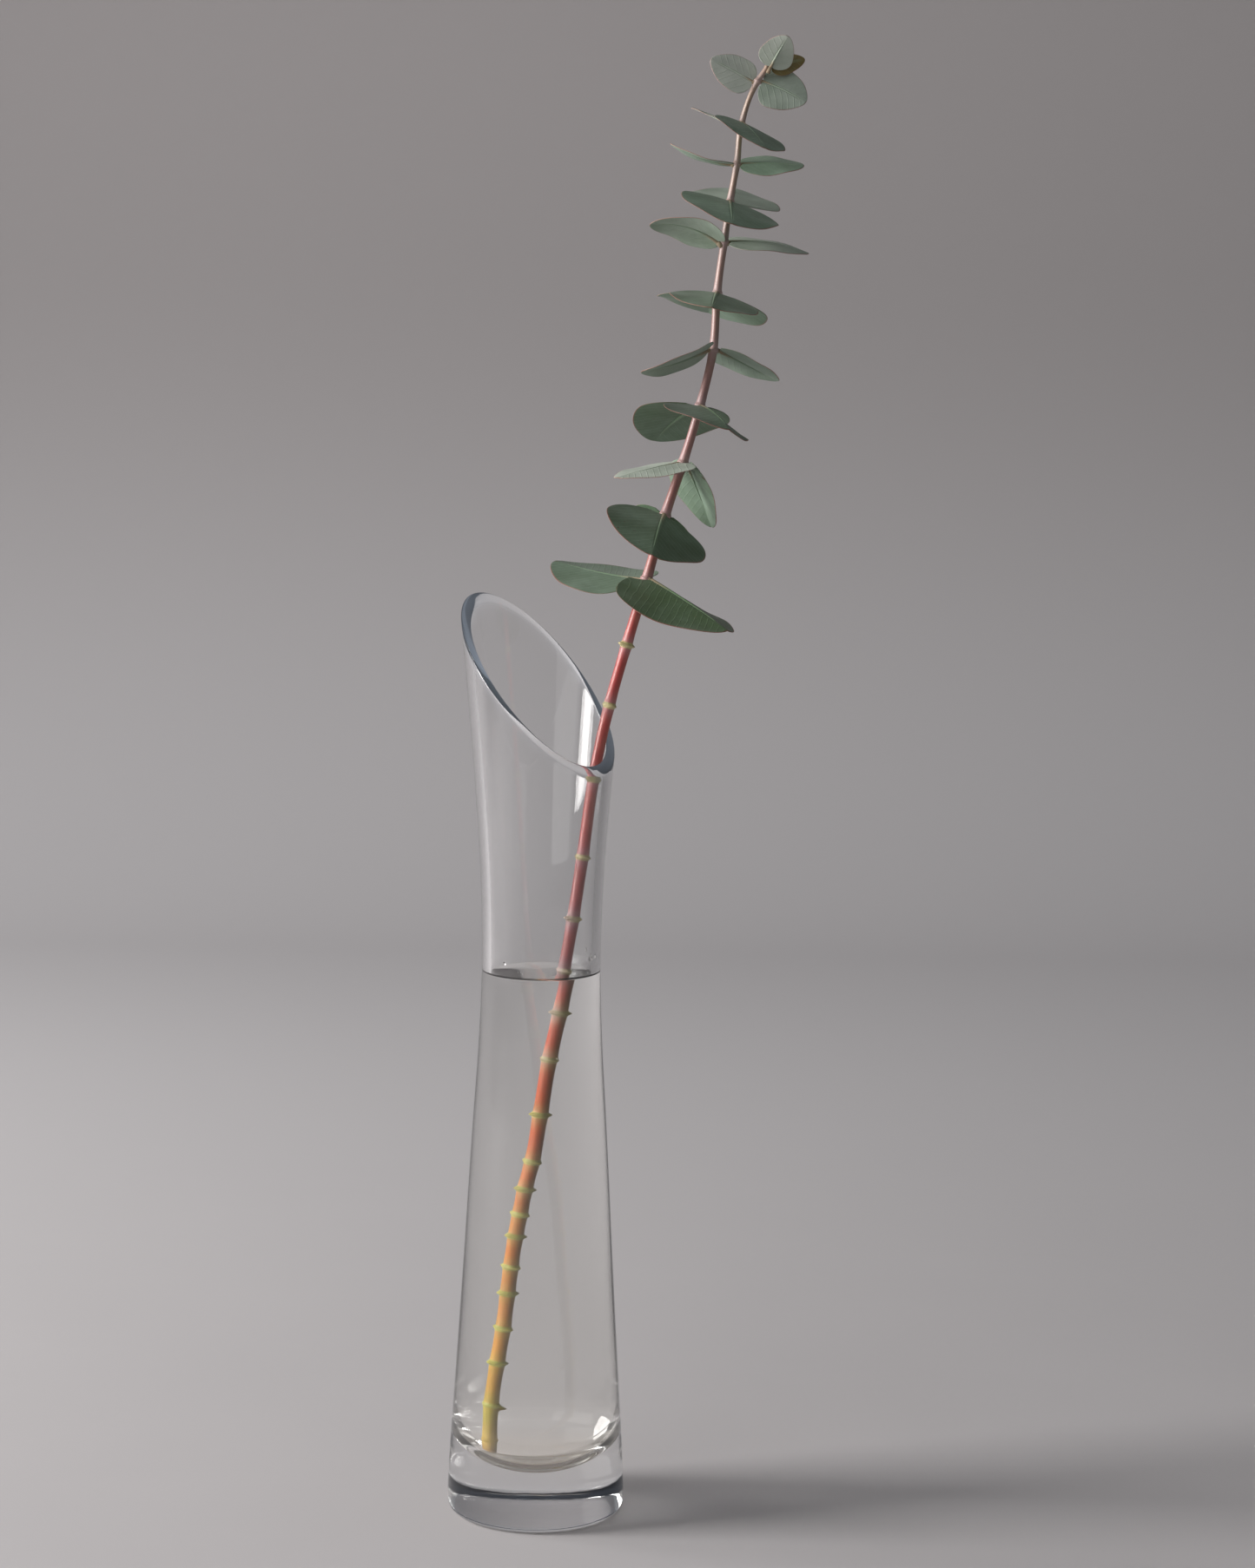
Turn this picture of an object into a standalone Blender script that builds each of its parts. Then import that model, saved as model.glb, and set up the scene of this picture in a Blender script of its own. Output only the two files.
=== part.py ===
"""Baby blue eucalyptus stem standing in a slant-cut glass vase of water.

Lengths are metres and angles are degrees. +Z is up, +X runs to the right, and
-Y runs towards the viewer. The origin is the centre of the vase's foot, on the
surface that the vase stands on.
"""
import math
from collections import namedtuple

import bmesh
import bpy
import numpy as np

# Clearance kept between two pieces that touch on the real plant.
GAP = 0.0003

# Vase: the radius of the outer wall at each height, from the foot up.
VASE_HEIGHTS = (0.0, 0.0012, 0.0040, 0.0110, 0.0425, 0.0680, 0.0930, 0.1180,
                0.1430, 0.1680, 0.1930, 0.2120, 0.2300, 0.2600, 0.2900, 0.3250)
VASE_RADII = (0.0292, 0.0305, 0.0312, 0.0311, 0.0293, 0.0277, 0.0262, 0.0248,
              0.0233, 0.0217, 0.0208, 0.0210, 0.0217, 0.0239, 0.0266, 0.0298)
VASE_SIDES = 40
NECK_HEIGHT = 0.2000
# Levels of the rings that the inner wall and the water share, and of the last level ring.
INNER_LEVELS = (0.0600, 0.0930, 0.1430)
NECK_TOP_LEVEL = 0.1900
# The wall grows thicker towards the foot.
WALL_HEIGHTS = (0.0330, 0.0600, 0.0930, 0.1430, 0.1900, 0.2300, 0.3300)
WALL_THICKNESSES = (0.0068, 0.0060, 0.0048, 0.0037, 0.0032, 0.0032, 0.0032)
# The bottom of the well is half an ellipse, from this level down to the top of the base.
WELL_TOP = 0.0330
BASE_THICKNESS = 0.0160
WELL_TURNS = (0, 25, 50, 75)
# The rim lies in a sloping plane: its height on the axis, and its rise along X and Y.
RIM_HEIGHT = 0.2907
RIM_RISE_X = -0.90
RIM_RISE_Y = 0.68
RIM_CROWN = 0.0008
# Where rings lie between the neck and the rim, and across the crowned rim.
WALL_SHARES = (0.12, 0.34, 0.56, 0.78, 1.0)
CROWN_SHARES = (0.12, 0.50, 0.88)
# The rim's height is found by repeated substitution, which settles in a few rounds.
RIM_ROUNDS = 12

WATER_LEVEL = 0.1923

# Stem: height and sideways place of each joint of the stem, from the cut end up.
STEM_FOOT = (0.0205, -0.0129)
BARE_NODES = ((0.0256, -0.0126), (0.0391, -0.0122), (0.0543, -0.0107), (0.0669, -0.0092),
              (0.0796, -0.0081), (0.0891, -0.0073), (0.1002, -0.0061), (0.1081, -0.0050),
              (0.1171, -0.0037), (0.1270, -0.0018), (0.1437, 0.0003), (0.1634, 0.0027),
              (0.1799, 0.0055), (0.1944, 0.0079), (0.2128, 0.0108), (0.2343, 0.0138),
              (0.2614, 0.0174), (0.2870, 0.0226), (0.3080, 0.0283))
LEAFY_NODES = ((0.3308, 0.0349), (0.3530, 0.0410), (0.3709, 0.0468), (0.3905, 0.0524),
               (0.4097, 0.0566), (0.4291, 0.0577), (0.4465, 0.0598), (0.4600, 0.0616),
               (0.4729, 0.0637), (0.4864, 0.0651), (0.5007, 0.0703), (0.5055, 0.0733))
STEM_TIP = (0.5070, 0.0738)
# Depth of the stem's centre line, with + away from the viewer, at a few heights.
DEPTH_HEIGHTS = (0.0205, 0.1200, 0.1944, 0.2870, 0.3970, 0.5070)
DEPTHS = (-0.0020, -0.0036, -0.0043, -0.0012, 0.0024, 0.0061)
STEM_SIDES = 8
# The last ring is this share of the tip's radius, and half of this step of height,
# up and down, gives the direction of the centre line.
TIP_TAPER = 0.7
DIRECTION_STEP = 0.0005
STEM_THICKNESS_HEIGHTS = (0.0200, 0.1900, 0.2870, 0.3300, 0.4300, 0.5000, 0.5070)
STEM_THICKNESSES = (0.0040, 0.0041, 0.0037, 0.0034, 0.0025, 0.0016, 0.0014)
# A ring swells at each joint, and two old leaf scars stand out from it.
RING_HALF_LENGTH = 0.0011
RING_SWELL = 0.0004
SCAR_SWELL = 0.0008
SCAR_SHARPNESS = 4
FIRST_SCAR_HEADING = 35.0
ROOT_NUB_NODE = 1
ROOT_NUB_LENGTH = 0.0022
# The hole in the water clears the stem's rings and scars, and runs past the water.
HOLE_CLEARANCE = RING_SWELL + SCAR_SWELL + 2 * GAP
HOLE_OVERRUN = 0.0040

LEAF_THICKNESS = 0.0006
# The outline's skew below 1 moves the widest place towards the stem, and its
# fullness below 1 makes it rounder. The fold is greater at the midrib than at the margin.
OUTLINE_SKEW = 0.65
OUTLINE_FULLNESS = 0.60
FOLD_AT_MIDRIB = 1.2
FOLD_AT_MARGIN = 0.8
# Half width at the stem and at the tip, as shares of the greatest. The lobes at the
# root fade along the blade and sharpen towards its margin by these powers.
ROOT_SHARE = 0.28
TIP_SHARE = 0.04
LOBE_FADE = 2.0
LOBE_SHARPNESS = 1.5
LEAF_ROWS = 8
LEAF_COLUMNS = 8

# One leaf: heading is the way its midrib points, seen from above, with 0 along +X
# and 90 away from the viewer. Rise is the midrib's slope at the stem and at the tip.
# Roll lifts the left half, seen from the stem, twist adds to the roll by the tip, and
# fold lifts both halves. Lobe is how far the two round lobes at the root reach back.
Leaf = namedtuple("Leaf", "side heading rise_at_stem rise_at_tip roll twist fold length width lobe")
LEAF_PAIRS = (
    (Leaf("right", -46, -20, -26, -7, 7, -21, 0.0400, 0.0410, 0.0055),
     Leaf("left", 141, 2, 12, -14, 6, -8, 0.0390, 0.0340, 0.0015)),
    (Leaf("front", -98, -15, -30, -27, 0, -12, 0.0330, 0.0380, 0.0015),
     Leaf("back", 96, -36, -48, 34, 0, -4, 0.0240, 0.0250, 0.0015)),
    (Leaf("left", 219, -9, -13, -3, 0, -6, 0.0268, 0.0255, 0.0030),
     Leaf("right", 48, -58, -60, 14, 0, -13, 0.0260, 0.0240, 0.0015)),
    (Leaf("front", -72, -8, -24, -18, -4, -19, 0.0290, 0.0335, 0.0015),
     Leaf("back", 120, -16, -31, 9, 0, -3, 0.0310, 0.0350, 0.0015)),
    (Leaf("left", 203, -26, -10, 22, -8, -4, 0.0255, 0.0255, 0.0015),
     Leaf("right", 25, -24, -24, -4, 0, -6, 0.0250, 0.0250, 0.0015)),
    (Leaf("front", -95, -9, -17, -12, 0, -11, 0.0270, 0.0315, 0.0015),
     Leaf("back", 94, -9, -14, 9, 10, -12, 0.0290, 0.0400, 0.0015)),
    (Leaf("left", 190, 34, -10, 15, 2, -6, 0.0250, 0.0250, 0.0015),
     Leaf("right", 10, 6, -20, 14, 0, -6, 0.0280, 0.0240, 0.0015)),
    (Leaf("front", -90, -14, -26, -17, 0, -4, 0.0270, 0.0350, 0.0015),
     Leaf("back", 84, 15, 12, 9, 0, -6, 0.0270, 0.0340, 0.0015)),
    (Leaf("left", 180, 4, 30, 0, 0, -3, 0.0220, 0.0200, 0.0012),
     Leaf("right", 0, 2, -4, 22, 0, -5, 0.0210, 0.0215, 0.0012)),
    (Leaf("front", -68, -22, -34, -18, 0, -4, 0.0210, 0.0285, 0.0010),
     Leaf("back", 140, 16, 20, 10, 0, -4, 0.0200, 0.0200, 0.0010)),
    (Leaf("left", 180, 28, 26, -60, 0, -6, 0.0160, 0.0150, 0.0006),
     Leaf("right", -8, -18, -34, 58, 0, -6, 0.0165, 0.0180, 0.0006)),
    (Leaf("front", -40, 57, 50, -42, 0, 6, 0.0122, 0.0122, 0.0003),
     Leaf("back", 16, 18, 12, 68, 0, -4, 0.0124, 0.0080, 0.0004)),
)

BUD_HEIGHT = 0.0050
BUD_WIDTH = 0.0022
BUD_LEAN = -0.45
BUD_SIDES = 8
# The bud's girth, as a share of its greatest, at shares of its height.
BUD_SHARES = (0.0, 0.2, 0.45, 0.7, 0.9, 1.0)
BUD_GIRTHS = (0.65, 0.83, 1.0, 0.95, 0.62, 0.45)

SURFACES = {
    "clear_glass": ((0.90, 0.94, 0.94), 0.02),
    "still_water": ((0.88, 0.93, 0.93), 0.01),
    "red_stem": ((0.45, 0.12, 0.09), 0.50),
    "waxy_leaf": ((0.11, 0.19, 0.14), 0.60),
    "pale_bud": ((0.30, 0.38, 0.28), 0.60),
}


def clear_scene():
    """Remove every object that the start-up file holds."""
    for item in list(bpy.data.objects):
        bpy.data.objects.remove(item, do_unlink=True)


def surface(name):
    """A plain Principled material of the colour and roughness listed above."""
    material = bpy.data.materials.new(name)
    material.use_nodes = True
    shader = material.node_tree.nodes["Principled BSDF"]
    colour, roughness = SURFACES[name]
    shader.inputs["Base Color"].default_value = (*colour, 1.0)
    shader.inputs["Roughness"].default_value = roughness
    shader.inputs["Metallic"].default_value = 0.0
    return material


def smooth(places, values, at):
    """Cubic curve through the values; the slope at each follows its neighbours."""
    places = np.asarray(places, dtype=float)
    values = np.asarray(values, dtype=float)
    slopes = np.gradient(values, places)
    i = np.clip(np.searchsorted(places, at) - 1, 0, len(places) - 2)
    span = places[i + 1] - places[i]
    t = (at - places[i]) / span
    start = (1 + 2 * t) * (1 - t) ** 2 * values[i] + t * (1 - t) ** 2 * span * slopes[i]
    end = t * t * (3 - 2 * t) * values[i + 1] + t * t * (t - 1) * span * slopes[i + 1]
    return start + end


def add_solid(name, points, faces, material):
    """Make a named object from points and faces, with its faces turned outwards."""
    shape = bmesh.new()
    corners = [shape.verts.new(point) for point in points]
    for face in faces:
        shape.faces.new([corners[i] for i in face])
    bmesh.ops.recalc_face_normals(shape, faces=shape.faces[:])
    mesh = bpy.data.meshes.new(name)
    shape.to_mesh(mesh)
    shape.free()
    mesh.shade_smooth()
    mesh.set_sharp_from_angle(angle=math.radians(40))
    if material:
        mesh.materials.append(material)
    item = bpy.data.objects.new(name, mesh)
    bpy.context.scene.collection.objects.link(item)
    return item


def loft(name, rings, material):
    """Skin a stack of rings with quads, and close both ends with a flat face."""
    count, sides = rings.shape[:2]
    faces = [tuple(reversed(range(sides)))]
    for row in range(count - 1):
        for side in range(sides):
            after = (side + 1) % sides
            low, high = row * sides, (row + 1) * sides
            faces.append((low + side, low + after, high + after, high + side))
    top = (count - 1) * sides
    faces.append(tuple(range(top, top + sides)))
    return add_solid(name, rings.reshape(-1, 3), faces, material)


def outer_radius(height):
    """Radius of the vase's outer wall at a height."""
    return smooth(VASE_HEIGHTS, VASE_RADII, height)


def inner_radius(height):
    """Radius of the vase's inner wall at a height."""
    return outer_radius(height) - smooth(WALL_HEIGHTS, WALL_THICKNESSES, height)


def turned_ring(angles, radius, height):
    """A ring round the vase's axis; radius and height may differ from angle to angle."""
    radius = np.broadcast_to(radius, angles.shape)
    height = np.broadcast_to(height, angles.shape)
    return np.stack([radius * np.cos(angles), radius * np.sin(angles), height], axis=1)


def rim_plane(x, y):
    """Height of the sloping cut over a point of the plan."""
    return RIM_HEIGHT + RIM_RISE_X * x + RIM_RISE_Y * y


def rim_heights(angles, radius_at):
    """Where a wall of that radius meets the sloping cut."""
    height = np.full(angles.shape, RIM_HEIGHT)
    for _ in range(RIM_ROUNDS):
        radius = radius_at(height)
        height = rim_plane(radius * np.cos(angles), radius * np.sin(angles))
    return height


def wall_rings(angles, radius_at, levels):
    """Level rings up to the neck, then rings that lean until they lie in the cut."""
    rings = [turned_ring(angles, radius_at(level), level) for level in levels]
    top = rim_heights(angles, radius_at)
    for share in WALL_SHARES:
        height = NECK_HEIGHT + (top - NECK_HEIGHT) * share
        rings.append(turned_ring(angles, radius_at(height), height))
    return rings


def well_rings(angles, inset):
    """Rings down the round bottom of the well; the inset keeps the water off the glass."""
    rings = []
    for turn in WELL_TURNS:
        radius = (inner_radius(WELL_TOP) - inset) * math.cos(math.radians(turn))
        drop = (WELL_TOP - BASE_THICKNESS - inset) * math.sin(math.radians(turn))
        rings.append(turned_ring(angles, radius, WELL_TOP - drop))
    return rings


def make_vase(material):
    """Thick-bottomed glass vase: outer wall, crowned rim, inner wall and well."""
    angles = np.arange(VASE_SIDES) * 2 * math.pi / VASE_SIDES
    levels = VASE_HEIGHTS[:5] + VASE_HEIGHTS[6:10:2] + (NECK_TOP_LEVEL,)
    outer = wall_rings(angles, outer_radius, levels)
    inner = wall_rings(angles, inner_radius, INNER_LEVELS + (NECK_TOP_LEVEL,))
    crown = []
    for across in CROWN_SHARES:
        lip = outer[-1] + (inner[-1] - outer[-1]) * across
        lip[:, 2] += RIM_CROWN * math.sqrt(math.sin(math.pi * across))
        crown.append(lip)
    return loft("vase", np.array(outer + crown + inner[::-1] + well_rings(angles, 0.0)), material)


def stem_centre(height):
    """Centre line of the stem at the given heights."""
    route = (STEM_FOOT, *BARE_NODES, *LEAFY_NODES, STEM_TIP)
    across = smooth([step[0] for step in route], [step[1] for step in route], height)
    depth = smooth(DEPTH_HEIGHTS, DEPTHS, height)
    return np.stack([across, depth, height], axis=-1)


def stem_radius(height):
    """Half the stem's thickness, without the rings at its joints."""
    return np.interp(height, STEM_THICKNESS_HEIGHTS, STEM_THICKNESSES) / 2


def pair_heading(index):
    """Way that the scars of a bare joint point: each pair is a quarter turn on."""
    return FIRST_SCAR_HEADING + 90 * (index % 2)


def across_stem(height):
    """Two directions at right angles to the stem: one to the right, one to the back."""
    along = stem_centre(height + DIRECTION_STEP) - stem_centre(height - DIRECTION_STEP)
    along = along / np.linalg.norm(along, axis=-1, keepdims=True)
    right = np.array([1.0, 0.0, 0.0]) - along * along[..., :1]
    right = right / np.linalg.norm(right, axis=-1, keepdims=True)
    return right, np.cross(along, right)


def stem_ring(height, radius):
    """A ring of points round the stem, square to its centre line."""
    turns = np.arange(STEM_SIDES) * 2 * math.pi / STEM_SIDES
    right, back = across_stem(np.array(height))
    spokes = np.cos(turns)[:, None] * right + np.sin(turns)[:, None] * back
    return stem_centre(np.array(height)) + spokes * np.broadcast_to(radius, turns.shape)[:, None]


def scar_swell(heading):
    """Extra radius round a bare joint: two low points, a half turn apart."""
    turns = np.arange(STEM_SIDES) * 360 / STEM_SIDES
    return SCAR_SWELL * np.cos(np.radians(turns - heading)) ** SCAR_SHARPNESS


def make_stem(material):
    """One tapering shoot, ringed at every joint, with scars and a small root nub."""
    rings = [stem_ring(STEM_FOOT[0] + GAP, stem_radius(STEM_FOOT[0]))]
    joints = BARE_NODES + LEAFY_NODES[:-1]
    for index, (height, _) in enumerate(joints):
        radius = stem_radius(height)
        swell = np.full(STEM_SIDES, RING_SWELL)
        if index < len(BARE_NODES):
            swell = swell + scar_swell(pair_heading(index))
        if index == ROOT_NUB_NODE:
            swell[0] += ROOT_NUB_LENGTH
        rings.append(stem_ring(height - RING_HALF_LENGTH, radius))
        rings.append(stem_ring(height, radius + swell))
        rings.append(stem_ring(height + RING_HALF_LENGTH, radius))
        if index + 1 < len(joints):
            middle = (height + joints[index + 1][0]) / 2
            rings.append(stem_ring(middle, stem_radius(middle)))
    rings.append(stem_ring(STEM_TIP[0] - RING_HALF_LENGTH, stem_radius(STEM_TIP[0])))
    rings.append(stem_ring(STEM_TIP[0], stem_radius(STEM_TIP[0]) * TIP_TAPER))
    return loft("stem", np.array(rings), material)


def stem_hole():
    """Guide for the plain hole that the stem stands in, clear of its rings and nub."""
    rings = [stem_ring(STEM_FOOT[0] - HOLE_OVERRUN, stem_radius(STEM_FOOT[0]) + HOLE_CLEARANCE)]
    under_water = [height for height, _ in BARE_NODES if height < WATER_LEVEL]
    for index, height in enumerate(under_water):
        radius = np.full(STEM_SIDES, stem_radius(height) + HOLE_CLEARANCE)
        if index == ROOT_NUB_NODE:
            rings.append(stem_ring(height - 2 * RING_HALF_LENGTH, radius))
            nub_radius = radius.copy()
            nub_radius[0] += ROOT_NUB_LENGTH
            rings.append(stem_ring(height, nub_radius))
            rings.append(stem_ring(height + 2 * RING_HALF_LENGTH, radius))
        else:
            rings.append(stem_ring(height, radius))
    rings.append(stem_ring(WATER_LEVEL + HOLE_OVERRUN, stem_radius(WATER_LEVEL) + HOLE_CLEARANCE))
    guide = loft("stem_hole_guide", np.array(rings), None)
    guide.hide_render = True
    guide.display_type = "WIRE"
    return guide


def make_water(material):
    """The water fills the vase up to its level, with a hole for the stem."""
    angles = np.arange(VASE_SIDES) * 2 * math.pi / VASE_SIDES
    rings = well_rings(angles, GAP)[::-1]
    for level in INNER_LEVELS + (WATER_LEVEL,):
        rings.append(turned_ring(angles, inner_radius(level) - GAP, level))
    water = loft("water", np.array(rings), material)
    cut = water.modifiers.new("stem_hole", "BOOLEAN")
    cut.operation = "DIFFERENCE"
    cut.solver = "EXACT"
    cut.object = stem_hole()
    return water


def leaf_outline(u):
    """Half width of the blade, as a share of its greatest: widest a third of the way out."""
    body = np.sin(math.pi * np.clip(u, 0, 1) ** OUTLINE_SKEW) ** OUTLINE_FULLNESS
    return np.maximum(body, ROOT_SHARE * (1 - u) ** 2) * (1 - TIP_SHARE) + TIP_SHARE


def leaf_mid_surface(leaf, height):
    """Points and normals of the blade's middle surface, on a grid of rows and columns.

    The midrib leaves the stem along the heading and its slope turns steadily from
    stem to tip. Each half leans by the roll and the fold, and the fold eases
    towards the margin so that the blade is gently arched.
    """
    u = (1 - np.cos(np.linspace(0, math.pi, LEAF_ROWS + 1)[:, None])) / 2
    v = np.linspace(-1, 1, LEAF_COLUMNS + 1)[None, :]
    heading = math.radians(leaf.heading)
    slope = np.radians(leaf.rise_at_stem + (leaf.rise_at_tip - leaf.rise_at_stem) * u)
    outward = np.array([math.cos(heading), math.sin(heading), 0.0])
    upward = np.array([0.0, 0.0, 1.0])
    along = np.cos(slope)[..., None] * outward + np.sin(slope)[..., None] * upward
    left = np.array([-math.sin(heading), math.cos(heading), 0.0])
    above = np.cross(along, left)
    steps = (along[1:] + along[:-1]) / 2 * leaf.length * np.diff(u, axis=0)[..., None]
    start = stem_centre(np.array(height)) + outward * (stem_radius(height) + RING_SWELL + 2 * GAP)
    midrib = start + np.concatenate([np.zeros((1, 1, 3)), np.cumsum(steps, axis=0)])
    fold = leaf.fold * (FOLD_AT_MIDRIB + (FOLD_AT_MARGIN - FOLD_AT_MIDRIB) * np.abs(v))
    lean = np.radians((leaf.roll + leaf.twist * u) * np.sign(v) + fold)
    reach = (np.abs(v) * leaf.width / 2 * leaf_outline(u))[..., None]
    side = np.sign(v)[..., None] * left
    points = midrib + reach * (np.cos(lean)[..., None] * side + np.sin(lean)[..., None] * above)
    lobe = leaf.lobe * (1 - u) ** LOBE_FADE * np.abs(v) ** LOBE_SHARPNESS
    points = points - lobe[..., None] * along
    down_blade = np.gradient(points, axis=0)
    over_blade = np.gradient(points, axis=1)
    normals = np.cross(down_blade, over_blade)
    return points, normals / np.linalg.norm(normals, axis=-1, keepdims=True)


def make_leaf(name, leaf, height, material):
    """A closed blade of even thickness, cut into the same triangles on both faces."""
    points, normals = leaf_mid_surface(leaf, height)
    rows, columns = LEAF_ROWS + 1, LEAF_COLUMNS + 1
    upper = (points + normals * LEAF_THICKNESS / 2).reshape(-1, 3)
    lower = (points - normals * LEAF_THICKNESS / 2).reshape(-1, 3)
    under = rows * columns
    faces = []
    for row in range(LEAF_ROWS):
        for column in range(LEAF_COLUMNS):
            a = row * columns + column
            b, c, d = a + 1, a + columns + 1, a + columns
            for one, two, three in ((a, b, c), (a, c, d)):
                faces.append((one, two, three))
                faces.append((under + three, under + two, under + one))
    edge = list(range(columns))
    edge += [row * columns + columns - 1 for row in range(1, rows)]
    edge += [(rows - 1) * columns + column for column in range(columns - 2, -1, -1)]
    edge += [row * columns for row in range(rows - 2, 0, -1)]
    for one, two in zip(edge, edge[1:] + edge[:1]):
        faces.append((two, one, under + one, under + two))
    return add_solid(name, np.concatenate([upper, lower]), faces, material)


def make_bud(material):
    """The furled bud at the very tip: a small spindle that leans with the stem."""
    turns = np.arange(BUD_SIDES) * 2 * math.pi / BUD_SIDES
    foot = stem_centre(np.array(STEM_TIP[0])) + np.array([0.0, 0.0, 2 * GAP])
    rings = []
    for share, girth in zip(BUD_SHARES, BUD_GIRTHS):
        ring = turned_ring(turns, BUD_WIDTH / 2 * girth, BUD_HEIGHT * share)
        ring[:, 0] += BUD_LEAN * BUD_HEIGHT * share
        rings.append(ring + foot)
    return loft("tip_bud", np.array(rings), material)


def main():
    clear_scene()
    make_vase(surface("clear_glass"))
    make_water(surface("still_water"))
    make_stem(surface("red_stem"))
    for index, pair in enumerate(LEAF_PAIRS):
        for leaf in pair:
            name = f"leaf_{index + 1:02d}_{leaf.side}"
            material = surface("waxy_leaf")
            make_leaf(name, leaf, LEAFY_NODES[index][0], material)
    make_bud(surface("pale_bud"))


main()
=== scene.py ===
# %% [markdown]
# # A stem of baby blue eucalyptus in its glass vase
#
# The subject is one cut shoot: a thin red stem, ringed at every joint, with round waxy leaves in
# opposite pairs. It leans in a clear glass vase of water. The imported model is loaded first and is
# never moved. Each of its plain solids is then replaced by a finer surface in the same place.

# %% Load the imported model
import math
from collections import namedtuple

import bpy
import numpy as np
from mathutils import Matrix, Vector


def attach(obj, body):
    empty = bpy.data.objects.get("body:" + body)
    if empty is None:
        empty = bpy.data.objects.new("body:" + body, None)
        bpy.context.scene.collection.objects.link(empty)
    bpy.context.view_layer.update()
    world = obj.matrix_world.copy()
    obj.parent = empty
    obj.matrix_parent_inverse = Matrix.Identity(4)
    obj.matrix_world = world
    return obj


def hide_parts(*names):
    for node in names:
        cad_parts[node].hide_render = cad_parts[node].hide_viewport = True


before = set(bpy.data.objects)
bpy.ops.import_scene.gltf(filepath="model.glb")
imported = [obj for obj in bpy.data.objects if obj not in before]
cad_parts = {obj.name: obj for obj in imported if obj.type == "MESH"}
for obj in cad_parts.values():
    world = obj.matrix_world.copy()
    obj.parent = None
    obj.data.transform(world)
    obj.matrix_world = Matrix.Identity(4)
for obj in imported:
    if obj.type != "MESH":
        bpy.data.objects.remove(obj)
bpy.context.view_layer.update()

# %% [markdown]
# ## Curves and skins
#
# Every piece here is a grid of points: rows run along the piece and sides run round it. Three small
# curves give the measures of each row: one runs smoothly through a few measured values, one is a
# bell round given places, and one rises from 0 to 1. Another helper skins a grid with quads. A grid
# could be built face by face with bmesh, but whole arrays are shorter to write and much faster.


# %% Three curves: through values, a bell, and a rise
def smooth(places, values, at):
    """Cubic curve through the values, whose slope at each value follows its neighbours."""
    places = np.asarray(places, dtype=float)
    values = np.asarray(values, dtype=float)
    slopes = np.gradient(values, places)
    i = np.clip(np.searchsorted(places, at) - 1, 0, len(places) - 2)
    span = places[i + 1] - places[i]
    t = (at - places[i]) / span
    start = (1 + 2 * t) * (1 - t) ** 2 * values[i] + t * (1 - t) ** 2 * span * slopes[i]
    end = t * t * (3 - 2 * t) * values[i + 1] + t * t * (t - 1) * span * slopes[i + 1]
    return start + end


def bell(distance, width):
    """A bell curve of height 1: e to the minus square of the distance over the width."""
    return np.exp(-(distance / width) ** 2)


def bells_at(places, centres, width):
    """One bell round each centre, in a column of its own."""
    return bell(places[:, None] - centres[None, :], width)


def smooth_rise(low, high, at):
    """Rise from 0 to 1 between low and high: three squares less two cubes of the share."""
    share = np.clip((at - low) / (high - low), 0, 1)
    return share * share * (3 - 2 * share)


# %% A closed skin over a grid of points
def pole_faces(index, after, first, last):
    """Triangles that close both ends of the grid, each end round one middle point."""
    count = index.shape[1]
    low = np.stack([np.full(count, first), after[0], index[0]], axis=-1)
    high = np.stack([np.full(count, last), index[-1], after[-1]], axis=-1)
    return low.tolist() + high.tolist()


def ribbon_faces(index):
    """Quads that close both ends of a flat grid, by joining its upper side to its lower side."""
    faces = []
    for row, flip in ((index[0], False), (index[-1], True)):
        half = len(row) // 2
        upper = row[1:half]
        lower = row[:half:-1]
        cap = np.stack([upper[1:], upper[:-1], lower[:-1], lower[1:]], axis=-1).tolist()
        cap.append([row[1], row[0], row[-1]])
        cap.append([row[half + 1], row[half], row[half - 1]])
        faces += [face[::-1] for face in cap] if flip else cap
    return faces


def grid_skin(rings, marks, ends):
    """Points, faces and marks of one closed surface, with its faces turned outwards.

    Six times the volume is the sum of the triple products of the faces' corners; where it comes
    out below zero, the faces look inwards and are all turned round.
    """
    rows, sides = rings.shape[:2]
    index = np.arange(rows * sides).reshape(rows, sides)
    after = np.roll(index, -1, axis=1)
    faces = np.stack([index[:-1], after[:-1], after[1:], index[1:]], axis=-1).reshape(-1, 4).tolist()
    points = rings.reshape(-1, 3)
    flat = {key: np.broadcast_to(value, (rows, sides)).reshape(-1) for key, value in marks.items()}
    if ends == "pole":
        points = np.concatenate([points, rings[0].mean(axis=0)[None], rings[-1].mean(axis=0)[None]])
        faces += pole_faces(index, after, rows * sides, rows * sides + 1)
        flat = {key: np.append(value, [value[:sides].mean(), value[-sides:].mean()])
                for key, value in flat.items()}
    else:
        faces += ribbon_faces(index)
    a, b, c = (points[index[:-1].ravel()], points[after[:-1].ravel()], points[after[1:].ravel()])
    d = points[index[1:].ravel()]
    volume = (np.cross(a, b) * c).sum() + (np.cross(a, c) * d).sum()
    if volume < 0:
        faces = [face[::-1] for face in faces]
    return points, faces, flat


def make_mesh(name, skins):
    """One mesh of one or more closed skins; each mark becomes an attribute of the points."""
    points = np.concatenate([skin[0] for skin in skins])
    faces = []
    start = 0
    for skin in skins:
        faces += [[corner + start for corner in face] for face in skin[1]]
        start += len(skin[0])
    mesh = bpy.data.meshes.new(name)
    mesh.from_pydata(points.tolist(), [], faces)
    for key in skins[0][2]:
        values = np.concatenate([skin[2][key] for skin in skins]).astype(np.float32)
        mesh.attributes.new(key, "FLOAT", "POINT").data.foreach_set("value", values)
    mesh.shade_smooth()
    return mesh


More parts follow.
